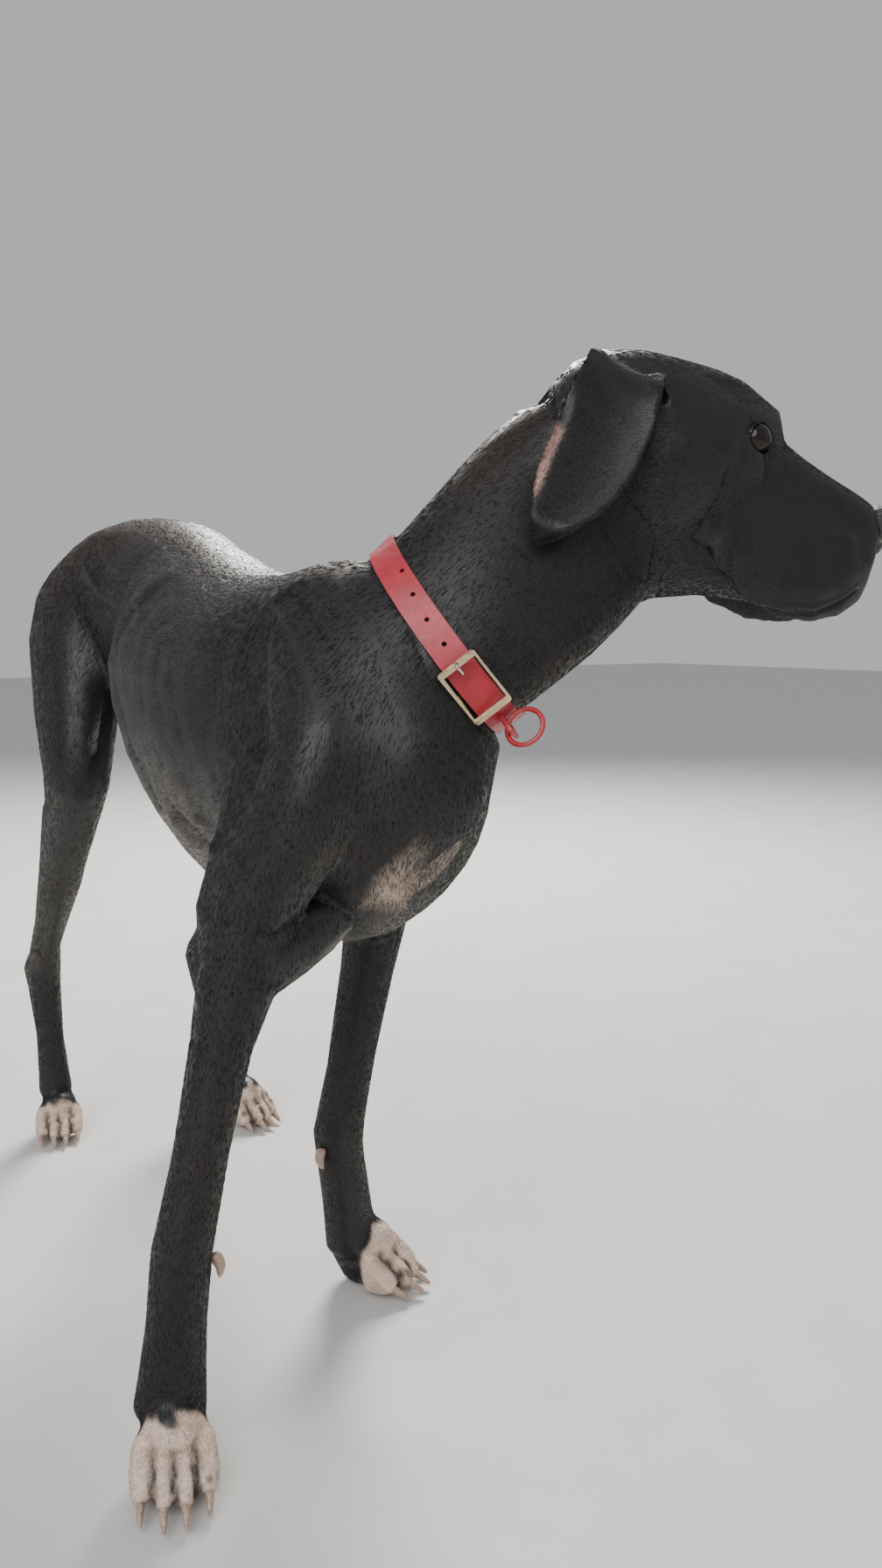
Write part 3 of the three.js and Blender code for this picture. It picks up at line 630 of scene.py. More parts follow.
def face_mask(points):
    """True on the muzzle, round the eyes, along the lips and at the roots of the ears."""
    head = beside(head_mm(points))
    muzzle = (head[:, 0] > FINE["muzzle from"]) & (head[:, 2] > FINE["jaw down to"])
    lips = far_from_line(head, LIP_LINE) < FINE["by the lips"]
    ear_root = far_from_line(head, EAR_ROOT) < FINE["by the ear"]
    return muzzle | (from_eye(points) < FINE["round the eye"]) | lips | ear_root


refine(skin, face_mask(points_of(skin)))
for reach in FINEST_ROUND_EYE:
    refine(skin, from_eye(points_of(skin)) < reach)
print("skin after the cuts", len(skin.data.vertices), "points")
relax(skin, FACE_PULL * face_mask(points_of(skin)) + LEAST_PULL, FACE_ROUNDS)

# %% Strokes on the head, in the head frame, on the left half and mirrored
HEAD_STROKES = {
    "brow": ([(172, 28, 26), (160, 41, 21), (144, 52, 11)], 2.6, 10),
    "middle furrow": ([(190, 0, 20), (166, 0, 40), (120, 0, 54)], -1.8, 7),
    "stop": ([(196, 9, 16), (178, 14, 26)], -2.2, 9),
    "under the eye": ([(180, 44, -18), (164, 52, -26), (148, 56, -26)], -2.6, 7),
    "tear line": ([(172, 44, -14), (186, 38, -36)], -1.6, 3.4),
    "cheek arch": ([(172, 48, -26), (140, 62, -27), (106, 72, -33), (80, 74, -40)], 3.6, 9),
    "temple": ([(128, 50, 24), (108, 54, 28)], -4, 17),
    "jaw muscle": ([(104, 66, -66), (92, 64, -84)], 5, 26),
    "groove before the jaw muscle": ([(146, 58, -48), (146, 54, -80), (138, 46, -104)], -3, 8),
    "side of the muzzle": ([(196, 38, -26), (240, 35, -28), (284, 30, -30)], -2.2, 10),
    "edge of the bridge": ([(192, 18, 8), (240, 16, 1), (296, 14, -6)], 1.6, 6),
    "lip pad": ([(300, 24, -56), (288, 32, -70)], 3, 14),
    "flew": ([(262, 38, -96), (226, 42, -108)], 3.4, 16),
    "fold behind the flew": ([(178, 46, -98), (184, 46, -116), (196, 40, -134)], -2, 6),
    "fold of the cheek": ([(164, 52, -88), (166, 50, -108), (174, 44, -122)], 2, 7),
    "mouth line": (LIP_LINE, -2.4, 2.4),
    "rim of the lip": ([(a, b + 1, c + 5) for a, b, c in LIP_LINE[1:6]], 1.1, 3.4),
    "philtrum": ([(318, 0, -44), (316, 0, -58), (311, 0, -74)], -3, 2.2),
    "edge of the ear base": ([(4, 68, -2), (30, 70, 4), (56, 66, 0), (72, 62, -12)], 2.2, 5),
}

# %% Lids: the almond opening's half heights and half length, the rim, and the way the socket faces
UPPER_LID = 4.6
LOWER_LID = 3.7
CORNER = 13
ALMOND = 1.4
LID_THICKNESS = 1.9
LID_TILT = math.radians(11)
LID_FADE = (2.2, 11)
SOCKET_SINK = 1.6
SOCKET_FRONT = -6
SOCKET_REACH = 34
SOCKET_GAZE = (0.74, 0.67, 0.02)
SOCKET_REARWARD = (-0.67, 0.74, 0)
eye_low, eye_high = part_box("eye_right")
EYE_RADIUS = (eye_high[2] - eye_low[2]) / 2


def socket_axes():
    """Outward, rearward and upward at the left eye, in the head frame."""
    gaze = np.array(SOCKET_GAZE)
    gaze /= np.linalg.norm(gaze)
    rearward = np.array(SOCKET_REARWARD) * math.cos(LID_TILT) + np.array((0, 0, 1)) * math.sin(LID_TILT)
    rearward -= gaze * (rearward @ gaze)
    rearward /= np.linalg.norm(rearward)
    upward = np.cross(gaze, rearward)
    return gaze, rearward, upward * np.sign(upward[2])


def lids(piece):
    """Sinks a socket behind the eyeball, with a rim of lid round its almond opening."""
    points = points_of(piece)
    head = head_mm(points)
    arm = beside(head) - np.array(EYE_IN_HEAD)
    reach = np.linalg.norm(arm, axis=1)
    out, back, rise = (arm @ axis for axis in socket_axes())
    narrowing = np.sqrt(np.clip(1 - (back / CORNER) ** 2, 0, 1)) ** ALMOND
    limit = np.where(rise > 0, UPPER_LID, LOWER_LID) * narrowing
    beyond = np.maximum(np.abs(rise) - limit, np.abs(back) - CORNER)
    near = (out > SOCKET_FRONT) & (reach < SOCKET_REACH)
    eye_radius = EYE_RADIUS / MM
    target = np.where(beyond < 0, eye_radius - SOCKET_SINK, eye_radius + LID_THICKNESS)
    hold = np.where(beyond < 0, 1.0, 1 - smooth_step(beyond, *LID_FADE))
    wanted = reach + (target - reach) * hold * near
    arm *= (wanted / np.maximum(reach, 0.01))[:, None]
    moved = np.array(EYE_IN_HEAD) + arm
    moved[:, 1] *= np.where(head[:, 1] < 0, -1, 1)
    changed = near & (hold > 0)
    head[changed] = moved[changed]
    back_in_scene = head @ head_axes + np.array(OCCIPUT)
    points[changed] = back_in_scene[changed] * MM + shift
    move_points(piece, points)
    return int(changed.sum())


# %% Make the strokes and the lids; only the stroke at the ear's base may touch the flaps
def sculpt_head(piece):
    points, normals = points_of(piece), normals_of(piece)
    place = beside(head_mm(points))
    off_ears = 1 - ear_nearness(points)
    for name, (line, height, reach) in HEAD_STROKES.items():
        before = points.copy()
        stroke(points, normals, place, line, height, reach)
        if name != "edge of the ear base":
            points[:] = before + (points - before) * off_ears[:, None]
    move_points(piece, points)


sculpt_head(skin)
print("head strokes", 2 * len(HEAD_STROKES), "lid points", lids(skin))

# %% [markdown]
# ## Room for the coat
#
# The solids give the outline with the fur on. The skin lies deeper by the depth of the coat, a millimetre or
# two on so short a coat, and the hairs fill that room again.

# %% Push the skin in
DEPTH = {"body": 1.6, "less on low legs": 0.6, "head": 0.9, "more on ears": 0.5}
LOW_LEG_ENDS = (60, 420)
COAT_THINS_ON_HEAD = (-20, 60)
NO_DEPTH_BY_EYE = 20


def coat_depth(points):
    low_leg = 1 - smooth_step(trunk_mm(points)[:, 2], *LOW_LEG_ENDS)
    on_head = smooth_step(head_mm(points)[:, 0], *COAT_THINS_ON_HEAD)
    depth = DEPTH["body"] - DEPTH["less on low legs"] * low_leg
    depth = depth + (DEPTH["head"] - depth) * on_head
    near_eye = bell(from_eye(points), NO_DEPTH_BY_EYE)
    return depth * (1 - near_eye) + DEPTH["more on ears"] * ear_nearness(points)


points = points_of(skin)
depth = coat_depth(points)
move_points(skin, points - normals_of(skin) * (depth * MM)[:, None])
print("coat depth from", round(depth.min(), 2), "to", round(depth.max(), 2), "mm")

# %% [markdown]
# ## Fewer faces where the form is plain
#
# The melted body spends as many faces on the flat of the ribs as on the lids. Decimate takes faces away where
# they say little, and a vertex group tells it to spare the face, the ears and the feet.

# %% Decimate the skin
SKIN_TRIANGLES = 186000
FOOT_TOP = 85
ON_EAR = 0.5
FACE_SHARE = 0.35
FEET_AND_EARS_SHARE = 0.7
points = points_of(skin)
feet_and_ears = (trunk_mm(points)[:, 2] < FOOT_TOP) | (ear_nearness(points) > ON_EAR)
plainness = np.select([face_mask(points), feet_and_ears], [FACE_SHARE, FEET_AND_EARS_SHARE], 1.0)
weigh(skin, "plain", plainness)
now = triangles(skin)
finish_modifier(skin, "DECIMATE", ratio=SKIN_TRIANGLES / now, use_collapse_triangulate=True,
                vertex_group="plain")
skin.vertex_groups.clear()
print("skin from", now, "to", triangles(skin), "triangles")

# %% [markdown]
# ## Markings
#
# The coat is black, with a painted brown sheen high along the back where it faces up to the light, and a few
# faint brown patches. The toes are cream, painted dark along the clefts between them, with a few brown
# freckles, and a small cream streak lies on the breast. The colour is worked out from the place and the slope
# of the skin, so the skin and the hairs that grow there agree.

# %% The paints
BLACK = np.array((0.0105, 0.0092, 0.0088))
# brown of the painted sunlit sheen on the back, and of the faint brown patches
SHEEN_AND_PATCH_BROWN = np.array((0.040, 0.023, 0.014))
CREAM = np.array((0.66, 0.495, 0.395))
FRECKLE = np.array((0.15, 0.085, 0.055))
EAR_LINING = np.array((0.36, 0.20, 0.155))
LID_SKIN = np.array((0.006, 0.005, 0.005))
rng = np.random.default_rng(7)


def blend(colour, other, share):
    return colour + (other - colour) * share[:, None]


# %% Irregular patterns: the size in millimetres and the seed of each
PATTERNS = {
    "edge of the painted sheen": (300, 1),
    "brown patches": (170, 2),
    "uneven black": (26, 3),
    "edge of the streak": (15, 4),
    "uneven cream": (17, 5),
    "uneven lining": (9, 6),
    "rear of the toes": (24, 10),
    "top of the toes": (21, 20),
    "gaps of the toes": (13, 30),
}
WAVE_COUNT = 5
WAVE_TOTAL = 3
WAVE_SPREAD = (0.7, 1.5)
WAVE_STARTS = (0, 6.3)


def waves(place, pattern, number=0):
    """A soft pattern, mostly between -1 and 1. The number gives each paw a pattern of its own."""
    size, seed = PATTERNS[pattern]
    draw = np.random.default_rng(seed + number)
    total = np.zeros(len(place))
    for _ in range(WAVE_COUNT):
        way = draw.normal(size=3)
        way /= np.linalg.norm(way)
        total += np.sin(place @ way * (2 * math.pi / size) * draw.uniform(*WAVE_SPREAD)
                        + draw.uniform(*WAVE_STARTS))
    return total / WAVE_TOTAL


# %% The black of the coat with its painted sheen, and the streak on the breast
# where the sunlit sheen is painted on the back, and how much brown is patched in at random
BROWN_SHEEN_AND_PATCHES = {"heights": (690, 830), "edge": 40, "slopes": (0.1, 0.9), "ends on the neck": (-60, 20),
          "most": 0.62, "patches": 0.12}
UNEVEN_BLACK = 0.18
BREAST_STREAK = [(652, -26, 467), (660, -14, 475), (668, -4, 484), (677, 5, 495), (688, 16, 508)]
STREAK = {"width": 12, "at its ends": 0.62, "more at its middle": 0.38, "middle": 26, "edge": 1.2,
          "fade": 1.5, "facing": (-0.2, 0.3)}


def black_coat(place, head, normals):
    """Black, with a painted brown sheen high on the back where it faces up to the light, faint brown patches,
    and uneven all over.
    """
    height = place[:, 2] + BROWN_SHEEN_AND_PATCHES["edge"] * waves(place, "edge of the painted sheen")
    # painted sheen: browner high on the back, where the skin faces up to the light
    sheen_and_patches = smooth_step(height, *BROWN_SHEEN_AND_PATCHES["heights"]) * smooth_step(normals[:, 2], *BROWN_SHEEN_AND_PATCHES["slopes"])
    sheen_and_patches = sheen_and_patches * (1 - smooth_step(head[:, 0], *BROWN_SHEEN_AND_PATCHES["ends on the neck"])) * BROWN_SHEEN_AND_PATCHES["most"]
    sheen_and_patches = sheen_and_patches + BROWN_SHEEN_AND_PATCHES["patches"] * smooth_step(waves(place, "brown patches"), 0, 1)
    return blend(BLACK, SHEEN_AND_PATCH_BROWN, sheen_and_patches) * (1 + UNEVEN_BLACK * waves(place, "uneven black"))[:, None]


def breast_streak(place, normals):
    bulge = bell(far_from(place, BREAST_STREAK[2]), STREAK["middle"])
    width = STREAK["width"] * (STREAK["at its ends"] + STREAK["more at its middle"] * bulge)
    off_line = far_from_line(place, BREAST_STREAK) + STREAK["edge"] * waves(place, "edge of the streak")
    streak = 1 - smooth_step(off_line, width - STREAK["fade"], width + STREAK["fade"])
    return streak * smooth_step(normals[:, 0], *STREAK["facing"])


# %% White toes with dark gaps and freckles, in each paw's own frame
PAW_BOX = (110, 60, 120)
TOE_WHITE = {"slant": 0.25, "slant from": 20, "rear edge": 5, "rear fade": 7, "top edge": 6,
             "top fade": (-6, 3), "sole": (1, 6)}
# the white is painted dark along the clefts between the toes, fading upward
GAP = {"edge": 1.6, "half width": 3.3, "ends": (30, 50), "darkness": 0.95}
FRECKLES_PER_PAW = 13
FRECKLE_SEED = 40
FRECKLE_FIELD = ((0, 52), (-30, 30), (6, 44))
FRECKLE_SIZES = (3, 6.5)
FRECKLE_EDGE = (0.35, 0.75)
FRECKLE_DEPTH = 0.8


def white_toes(place, paw, form, number):
    front = paw[:, 0] - TOE_WHITE["slant"] * (paw[:, 2] - TOE_WHITE["slant from"])
    front = front + TOE_WHITE["rear edge"] * waves(place, "rear of the toes", number)
    toes = smooth_step(front, form["back"], form["back"] + TOE_WHITE["rear fade"])
    height = paw[:, 2] + TOE_WHITE["top edge"] * waves(place, "top of the toes", number)
    below, above = TOE_WHITE["top fade"]
    toes = toes * (1 - smooth_step(height, form["top"] + below, form["top"] + above))
    ragged = paw[:, 1] + GAP["edge"] * waves(place, "gaps of the toes", number)
    gap = sum(bell(ragged - y, GAP["half width"]) for y in TOE_GAPS)
    gap = gap * (1 - smooth_step(paw[:, 2], *GAP["ends"]))
    return toes * (1 - GAP["darkness"] * np.clip(gap, 0, 1)) * smooth_step(paw[:, 2], *TOE_WHITE["sole"])


def freckles(paw, number):
    draw = np.random.default_rng(FRECKLE_SEED + number)
    spots = np.zeros(len(paw))
    for _ in range(FRECKLES_PER_PAW):
        centre = np.array([draw.uniform(*span) for span in FRECKLE_FIELD])
        spots = np.maximum(spots, bell(np.linalg.norm(paw - centre, axis=1), draw.uniform(*FRECKLE_SIZES)))
    return spots


# %% The bare inside of the ear, which shows along the curled edge
LINING_COURSE = [(-8, 84, -84), (-16, 92, -104), (-10, 94, -128)]
LINING = {"reach": 13, "edge": (0.3, 0.75), "facing back": (0.0, 0.4), "on the flap": (0.2, 0.5),
          "level": 0.75, "uneven": 0.25}


def ear_lining(points, place, head, normals):
    lining = bell(far_from_line(beside(head), LINING_COURSE), LINING["reach"])
    lining = smooth_step(lining, *LINING["edge"])
    lining = lining * smooth_step(-normals @ head_axes[0], *LINING["facing back"])
    lining = lining * smooth_step(ear_nearness(points), *LINING["on the flap"])
    lining = lining * (LINING["level"] + LINING["uneven"] * waves(place, "uneven lining"))
    return np.clip(lining, 0, 1)


# %% Paint the skin
UNEVEN_CREAM = 0.07
LID_PAINT_REACH = 17
LID_PAINT_EDGE = (0.35, 0.6)


def paint_at(points, normals):
    place = trunk_mm(points)
    head = head_mm(points)
    white = breast_streak(place, normals)
    freckled = np.zeros(len(place))
    for number, form in enumerate(PAWS.values()):
        paw = in_paw(place, form)
        near = (np.abs(paw) < PAW_BOX).all(axis=1)
        white = np.maximum(white, white_toes(place, paw, form, number) * near)
        freckled = np.maximum(freckled, near * freckles(paw, number))
    cream = CREAM * (1 + UNEVEN_CREAM * waves(place, "uneven cream"))[:, None]
    colour = blend(black_coat(place, head, normals), cream, white)
    colour = blend(colour, FRECKLE, FRECKLE_DEPTH * smooth_step(freckled, *FRECKLE_EDGE) * white)
    colour = blend(colour, EAR_LINING, ear_lining(points, place, head, normals))
    return blend(colour, LID_SKIN, smooth_step(bell(from_eye(points), LID_PAINT_REACH), *LID_PAINT_EDGE))


def paint(piece, colours):
    layer = piece.data.color_attributes.new("paint", "FLOAT_COLOR", "POINT")
    layer.data.foreach_set("color", np.concatenate([colours, np.ones((len(colours), 1))], axis=1).ravel())


skin_colours = paint_at(points_of(skin), normals_of(skin))
paint(skin, skin_colours)
print("skin painted,", int((skin_colours[:, 0] > CREAM[0] / 2).sum()), "cream points")

# %% [markdown]
# ## The lie of the coat
#
# A dog's hair doesn't stand at random. It runs back from the nose over the skull, down the neck, back along
# the trunk, down the legs and forward over the toes. Guides, like a groom's brush strokes, give the direction
# along each part, and a hair follows the guides that are near it.

# %% Guides
TAIL_COURSE = [(-62, 0, 756), (-102, -12, 706), (-130, -34, 632), (-148, -60, 540), (-162, -80, 440),
               (-176, -92, 350), (-196, -96, 288)]
LEG_COURSES = {
    "fore_right": [(574, -118, 446), (588, -186, 182), (590, -205, 70), (650, -224, 12)],
    "fore_left": [(435, 93, 440), (442, 33, 168), (440, 60, 75), (496, 100, 12)],
    "hind_right": [(94, -118, 505), (-112, -120, 218), (-98, -112, 72), (-38, -128, 12)],
    "hind_left": [(130, 112, 500), (-36, 78, 222), (0, 113, 72), (62, 128, 12)],
}
BACKWARD_ON_EARS = np.array((4, 0, 0))
guides = []


def guide(region, line, reach, lie=None):
    for start, end in zip(line[:-1], line[1:]):
        start, end = np.array(start, float), np.array(end, float)
        way = np.array(lie, float) if lie else end - start
        guides.append((region, start, end, way / np.linalg.norm(way), reach))


def head_guide(region, line, reach, lie):
    way = in_trunk(*lie) - OCCIPUT
    guide(region, [tuple(in_trunk(*place)) for place in line], reach, tuple(way))


head_guide("head", [(190, 0, 20), (0, 0, 10)], 60, (-1, 0, -0.05))
head_guide("head", [(310, 0, -40), (190, 0, -60)], 60, (-1, 0, -0.1))
guide("neck", [tuple(OCCIPUT), (590, 110, 820), (540, 50, 740)], 70)
guide("neck", [(690, 150, 780), (680, 80, 690), (640, 20, 600)], 60)
guide("shoulders", [(690, 0, 580), (650, 0, 460)], 60, (-0.25, 0, -1))
guide("body", [(620, 0, 400), (420, 0, 380)], 60, (-1, 0, 0.05))
guide("body", [(480, 0, 740), (60, 0, 790)], 60, (-1, 0, -0.02))
guide("body", [(400, 0, 420), (150, 0, 540)], 60, (-1, 0, 0.15))
guide("quarters", [(40, 0, 800), (-50, 0, 760)], 50, (-1, 0, -0.5))
guide("tail", TAIL_COURSE, 30)
for side, way in SIDES.items():
    head_guide("head", [(150, way * 52, -66), (40, way * 62, -76)], 55, (-1, way * 0.1, -0.3))
    ear_line = [(a, way * b, c) for a, b, c in (entry["at"] for entry in EAR_COURSE[1:])]
    for start, end in zip(ear_line[:-1], ear_line[1:]):
        head_guide("ears", [start, end], 24, tuple(np.array(end) - np.array(start) - BACKWARD_ON_EARS))
    guide("shoulders", [(530, way * 84, 680), (600, way * 110, 500)], 70, (-0.3, 0, -1))
    guide("shoulders", [(630, way * 84, 560), (574, way * 118, 446)], 50, (-0.35, 0, -1))
    guide("body", [(450, way * 100, 580), (180, way * 85, 600)], 80, (-1, 0, -0.32))
    guide("quarters", [(30, way * 92, 720), (80, way * 120, 520)], 80, (-0.35, 0, -1))
    guide("quarters", [(-66, way * 60, 690), (-30, way * 100, 600)], 50, (-0.1, 0, -1))
for name, course in LEG_COURSES.items():
    guide(name.split("_")[0] + "legs", course, 40)
regions = sorted({name for name, *_ in guides})
print("guides", len(guides), "regions", regions)

# %% The way the hair lies
NEAREST_GUIDE = 0.05


def lie_of_coat(points):
    """The direction of the hair at each point, and the number of the region whose guide is nearest."""
    place = trunk_mm(points)
    total = np.zeros((len(points), 3))
    nearest = np.full(len(points), FAR_AWAY)
    region = np.zeros(len(points), int)
    for name, start, end, way, reach in guides:
        distance = far_from_line(place, [start, end]) / reach
        total += way / (NEAREST_GUIDE + distance**4)[:, None]
        closer = distance < nearest
        nearest[closer] = distance[closer]
        region[closer] = regions.index(name)
    return total / np.linalg.norm(total, axis=1)[:, None], region


# %% [markdown]
# ## Coat
#
# On so smooth an animal the hairs are no longer than a fingernail and lie flat, so that they read as a gloss
# with a fine grain. Each tuft is a thin, sharp blade of four faces, whose root sinks into the skin and whose
# tip lifts a little. The tufts overlap like tiles, and they are smallest on the face and the feet.

# %% Length of the hair, in millimetres
HAIR = {"body": 8.0, "less on legs": 2.4, "less on feet": 2.3, "skull": 4.4, "less on muzzle": 1.5,
        "less on ears": 0.4}
LEG_HAIR = (180, 470)
FOOT_HAIR = (40, 110)
HEAD_HAIR = (-30, 60)
MUZZLE_HAIR = (170, 280)


def hair_length(points):
    height = trunk_mm(points)[:, 2]
    ahead = head_mm(points)[:, 0]
    length = HAIR["body"] - HAIR["less on legs"] * (1 - smooth_step(height, *LEG_HAIR))
    length = length - HAIR["less on feet"] * (1 - smooth_step(height, *FOOT_HAIR))
    on_head = HAIR["skull"] - HAIR["less on muzzle"] * smooth_step(ahead, *MUZZLE_HAIR)
    length = length + (on_head - length) * smooth_step(ahead, *HEAD_HAIR)
    return length - HAIR["less on ears"] * ear_nearness(points)


# %% How many tufts each face of the skin needs
FULL_COVER = 0.61
WIDTH_AT_LEAST = 0.2
WIDTH_BY_LENGTH = 0.1
BARE_LID_REACH = 14
BARE_LID = 0.42
corners, skin_normals = points_of(skin), normals_of(skin)
skin.data.calc_loop_triangles()
faces = np.empty(len(skin.data.loop_triangles) * 3, dtype=np.int64)
skin.data.loop_triangles.foreach_get("vertices", faces)
faces = faces.reshape(-1, 3)


def width_for(length):
    return WIDTH_AT_LEAST + WIDTH_BY_LENGTH * length


a, b, c = (corners[faces[:, k]] for k in range(3))
areas = np.linalg.norm(np.cross(b - a, c - a), axis=1) / 2 / MM**2
middles = (a + b + c) / 3
lengths = hair_length(middles)
bare = bell(from_eye(middles), BARE_LID_REACH) > BARE_LID
per_area = FULL_COVER / (0.5 * lengths * width_for(lengths)) * ~bare
wanted = np.cumsum(areas * per_area)
tuft_count = int(wanted[-1])
print("skin area", round(areas.sum() / 1e6, 2), "square metres, tufts", tuft_count)

# %% Roots, spread evenly by area
LEAST_LENGTH = 1e-6
draws = (np.arange(tuft_count) + rng.random(tuft_count)) / tuft_count * wanted[-1]
owner = np.searchsorted(wanted, draws).clip(0, len(faces) - 1)
u, v = rng.random((2, tuft_count))
flip = u + v > 1
u[flip], v[flip] = 1 - u[flip], 1 - v[flip]
shares = np.stack([1 - u - v, u, v], axis=1)
roots = sum(corners[faces[owner, k]] * shares[:, k:k + 1] for k in range(3))
root_normals = sum(skin_normals[faces[owner, k]] * shares[:, k:k + 1] for k in range(3))
root_normals /= np.linalg.norm(root_normals, axis=1)[:, None]
lie, region = lie_of_coat(roots)
lie -= root_normals * (lie * root_normals).sum(axis=1)[:, None]
lie /= np.maximum(np.linalg.norm(lie, axis=1), LEAST_LENGTH)[:, None]
print("roots by region", {name: int((region == i).sum()) for i, name in enumerate(regions)})

# %% [markdown]
# Each tuft needs a place on a flat map of the skin, so that its colour can be stored in an image later. The
# skin's own shape is unfolded once, on a light copy, and each root looks up where it lies on that map.

# %% Unfold a light copy of the skin
MAP_TRIANGLES = 24000
MAP_ANGLE = math.radians(66)
MAP_MARGIN = 0.003
LEAST_AREA = 1e-20

pick(skin)
bpy.ops.object.duplicate()
light_skin = bpy.context.object
finish_modifier(light_skin, "DECIMATE", ratio=MAP_TRIANGLES / triangles(light_skin),
                use_collapse_triangulate=True)
edit_all(light_skin, bpy.ops.uv.smart_project, angle_limit=MAP_ANGLE, island_margin=MAP_MARGIN)
map_points = points_of(light_skin)
map_faces = np.array([tuple(polygon.vertices) for polygon in light_skin.data.polygons])
map_corners = values_of(light_skin.data.uv_layers.active.data, "uv", 2).reshape(-1, 3, 2)
map_tree = BVHTree.FromPolygons([tuple(place) for place in map_points], map_faces.tolist())

# %% Look up where each root lies on the map
found = np.array([map_tree.find_nearest(Vector(root))[2] for root in roots])
a, b, c = (map_points[map_faces[found, k]] for k in range(3))
edge_b, edge_c, arm = b - a, c - a, roots - a
bb, bc, cc = (edge_b**2).sum(1), (edge_b * edge_c).sum(1), (edge_c**2).sum(1)
ab, ac = (arm * edge_b).sum(1), (arm * edge_c).sum(1)
area = np.maximum(bb * cc - bc * bc, LEAST_AREA)
share_b = np.clip((cc * ab - bc * ac) / area, 0, 1)
share_c = np.clip((bb * ac - bc * ab) / area, 0, 1 - share_b)
corner_uv = map_corners[found]
root_uv = (corner_uv[:, 0] + (corner_uv[:, 1] - corner_uv[:, 0]) * share_b[:, None]
           + (corner_uv[:, 2] - corner_uv[:, 0]) * share_c[:, None])
bpy.data.objects.remove(light_skin)
print("unfolded map from", root_uv.min(axis=0).round(3), "to", root_uv.max(axis=0).round(3))

# %% Shape of one tuft: two corners of its root, a low ridge, and its tip
JITTER = math.radians(7)
LIFT = math.radians(3.4)
LIFT_SPREAD = math.radians(1.3)
LENGTH_SPREAD = (0.75, 1.25)
SHADE_SPREAD = (0.86, 1.14)
RIDGE_AT = 0.3
RIDGE_HEIGHT = 0.06
ROOT_SINK = 0.5
TUFT_FACES = np.array([(0, 3, 2), (2, 3, 1), (0, 1, 3), (0, 2, 1)])
PATCH = 0.003
PATCH_CORNERS = np.array([(-1, -1), (1, -1), (-1, 1), (1, 1)]) * PATCH / 2

aside = np.cross(root_normals, lie)
turn = rng.normal(0, JITTER, tuft_count)[:, None]
lie = lie * np.cos(turn) + aside * np.sin(turn)
aside = np.cross(root_normals, lie)
length = hair_length(roots) * rng.uniform(*LENGTH_SPREAD, tuft_count)
half = width_for(length) / 2
lift = np.abs(rng.normal(LIFT, LIFT_SPREAD, tuft_count))


def along(amount, way):
    return (amount * MM)[:, None] * way


skin_tree = BVHTree.FromPolygons([tuple(place) for place in corners], faces.tolist())
landings = [skin_tree.find_nearest(Vector(place)) for place in roots + along(length * np.cos(lift), lie)]
tip_seats = np.array([landing[0] for landing in landings])
tip_normals = np.array([landing[1] for landing in landings])
low = roots - along(np.full(tuft_count, ROOT_SINK), root_normals)
ridge_height = RIDGE_HEIGHT + length * RIDGE_AT * np.sin(lift)
tuft_points = np.stack([
    low + along(half, aside),
    low - along(half, aside),
    roots + (tip_seats - roots) * RIDGE_AT + along(ridge_height, root_normals),
    tip_seats + along(length * np.sin(lift), tip_normals),
], axis=1)
tuft_points[:, :, 2] = np.maximum(tuft_points[:, :, 2], 0)
tuft_colours = paint_at(roots, root_normals) * rng.uniform(*SHADE_SPREAD, tuft_count)[:, None]
print("tuft length from", round(length.min(), 1), "to", round(length.max(), 1), "mm")

# %% Build the coat pieces
MOST_TUFTS = 49000


def coat_piece(name, chosen):
    count = len(chosen)
    mesh = bpy.data.meshes.new(name)
    mesh.vertices.add(count * 4)
    mesh.vertices.foreach_set("co", tuft_points[chosen].ravel())
    corners_here = (TUFT_FACES[None] + 4 * np.arange(count)[:, None, None]).reshape(-1)
    mesh.loops.add(len(corners_here))
    mesh.loops.foreach_set("vertex_index", corners_here)
    mesh.polygons.add(count * 4)
    mesh.polygons.foreach_set("loop_start", np.arange(count * 4) * 3)
    mesh.update(calc_edges=True)
    layer = mesh.uv_layers.new(name="OFBake")
    places = (root_uv[chosen][:, None] + PATCH_CORNERS[None]).clip(0, 1).reshape(-1, 2)
    layer.data.foreach_set("uv", places[corners_here].ravel())
    piece = bpy.data.objects.new(name, mesh)
    bpy.context.collection.objects.link(piece)
    paint(piece, np.repeat(tuft_colours[chosen], 4, axis=0))
    return piece


coat_pieces = []
for number, name in enumerate(regions):
    members = np.nonzero(region == number)[0]
    parts = math.ceil(len(members) / MOST_TUFTS)
    members = members[np.argsort(roots[members, 1])]
    for part, chosen in enumerate(np.array_split(members, parts)):
        coat_pieces.append(coat_piece(f"coat_{name}_{part + 1}", chosen))
print({piece.name: len(piece.data.polygons) for piece in coat_pieces})

# %% [markdown]
# ## Finish of the coat
#
# Wet-looking black fur is dark all through, and what is seen of it is mostly reflection. The paint on the
# points gives the colour, noise breaks it up along the hairs, and a middling roughness with a fine bump
# spreads the highlights into a satin gloss.

# %% Helpers for materials
NOISE_DETAIL = 3.0


def material(name, **sockets):
    made = bpy.data.materials.new(name)
    made.use_nodes = True
    shader = made.node_tree.nodes["Principled BSDF"]
    for key, value in sockets.items():
        shader.inputs[key.replace("_", " ")].default_value = value
    return made, made.node_tree, shader


def node(tree, kind, **settings):
    made = tree.nodes.new(kind)
    for key, value in settings.items():
        if hasattr(made, key):
            setattr(made, key, value)
        else:
            made.inputs[key.replace("_", " ")].default_value = value
    return made


def plain_base(tree, colour):
    made = node(tree, "ShaderNodeRGB")
    made.outputs[0].default_value = (*colour, 1)
    return made.outputs[0]


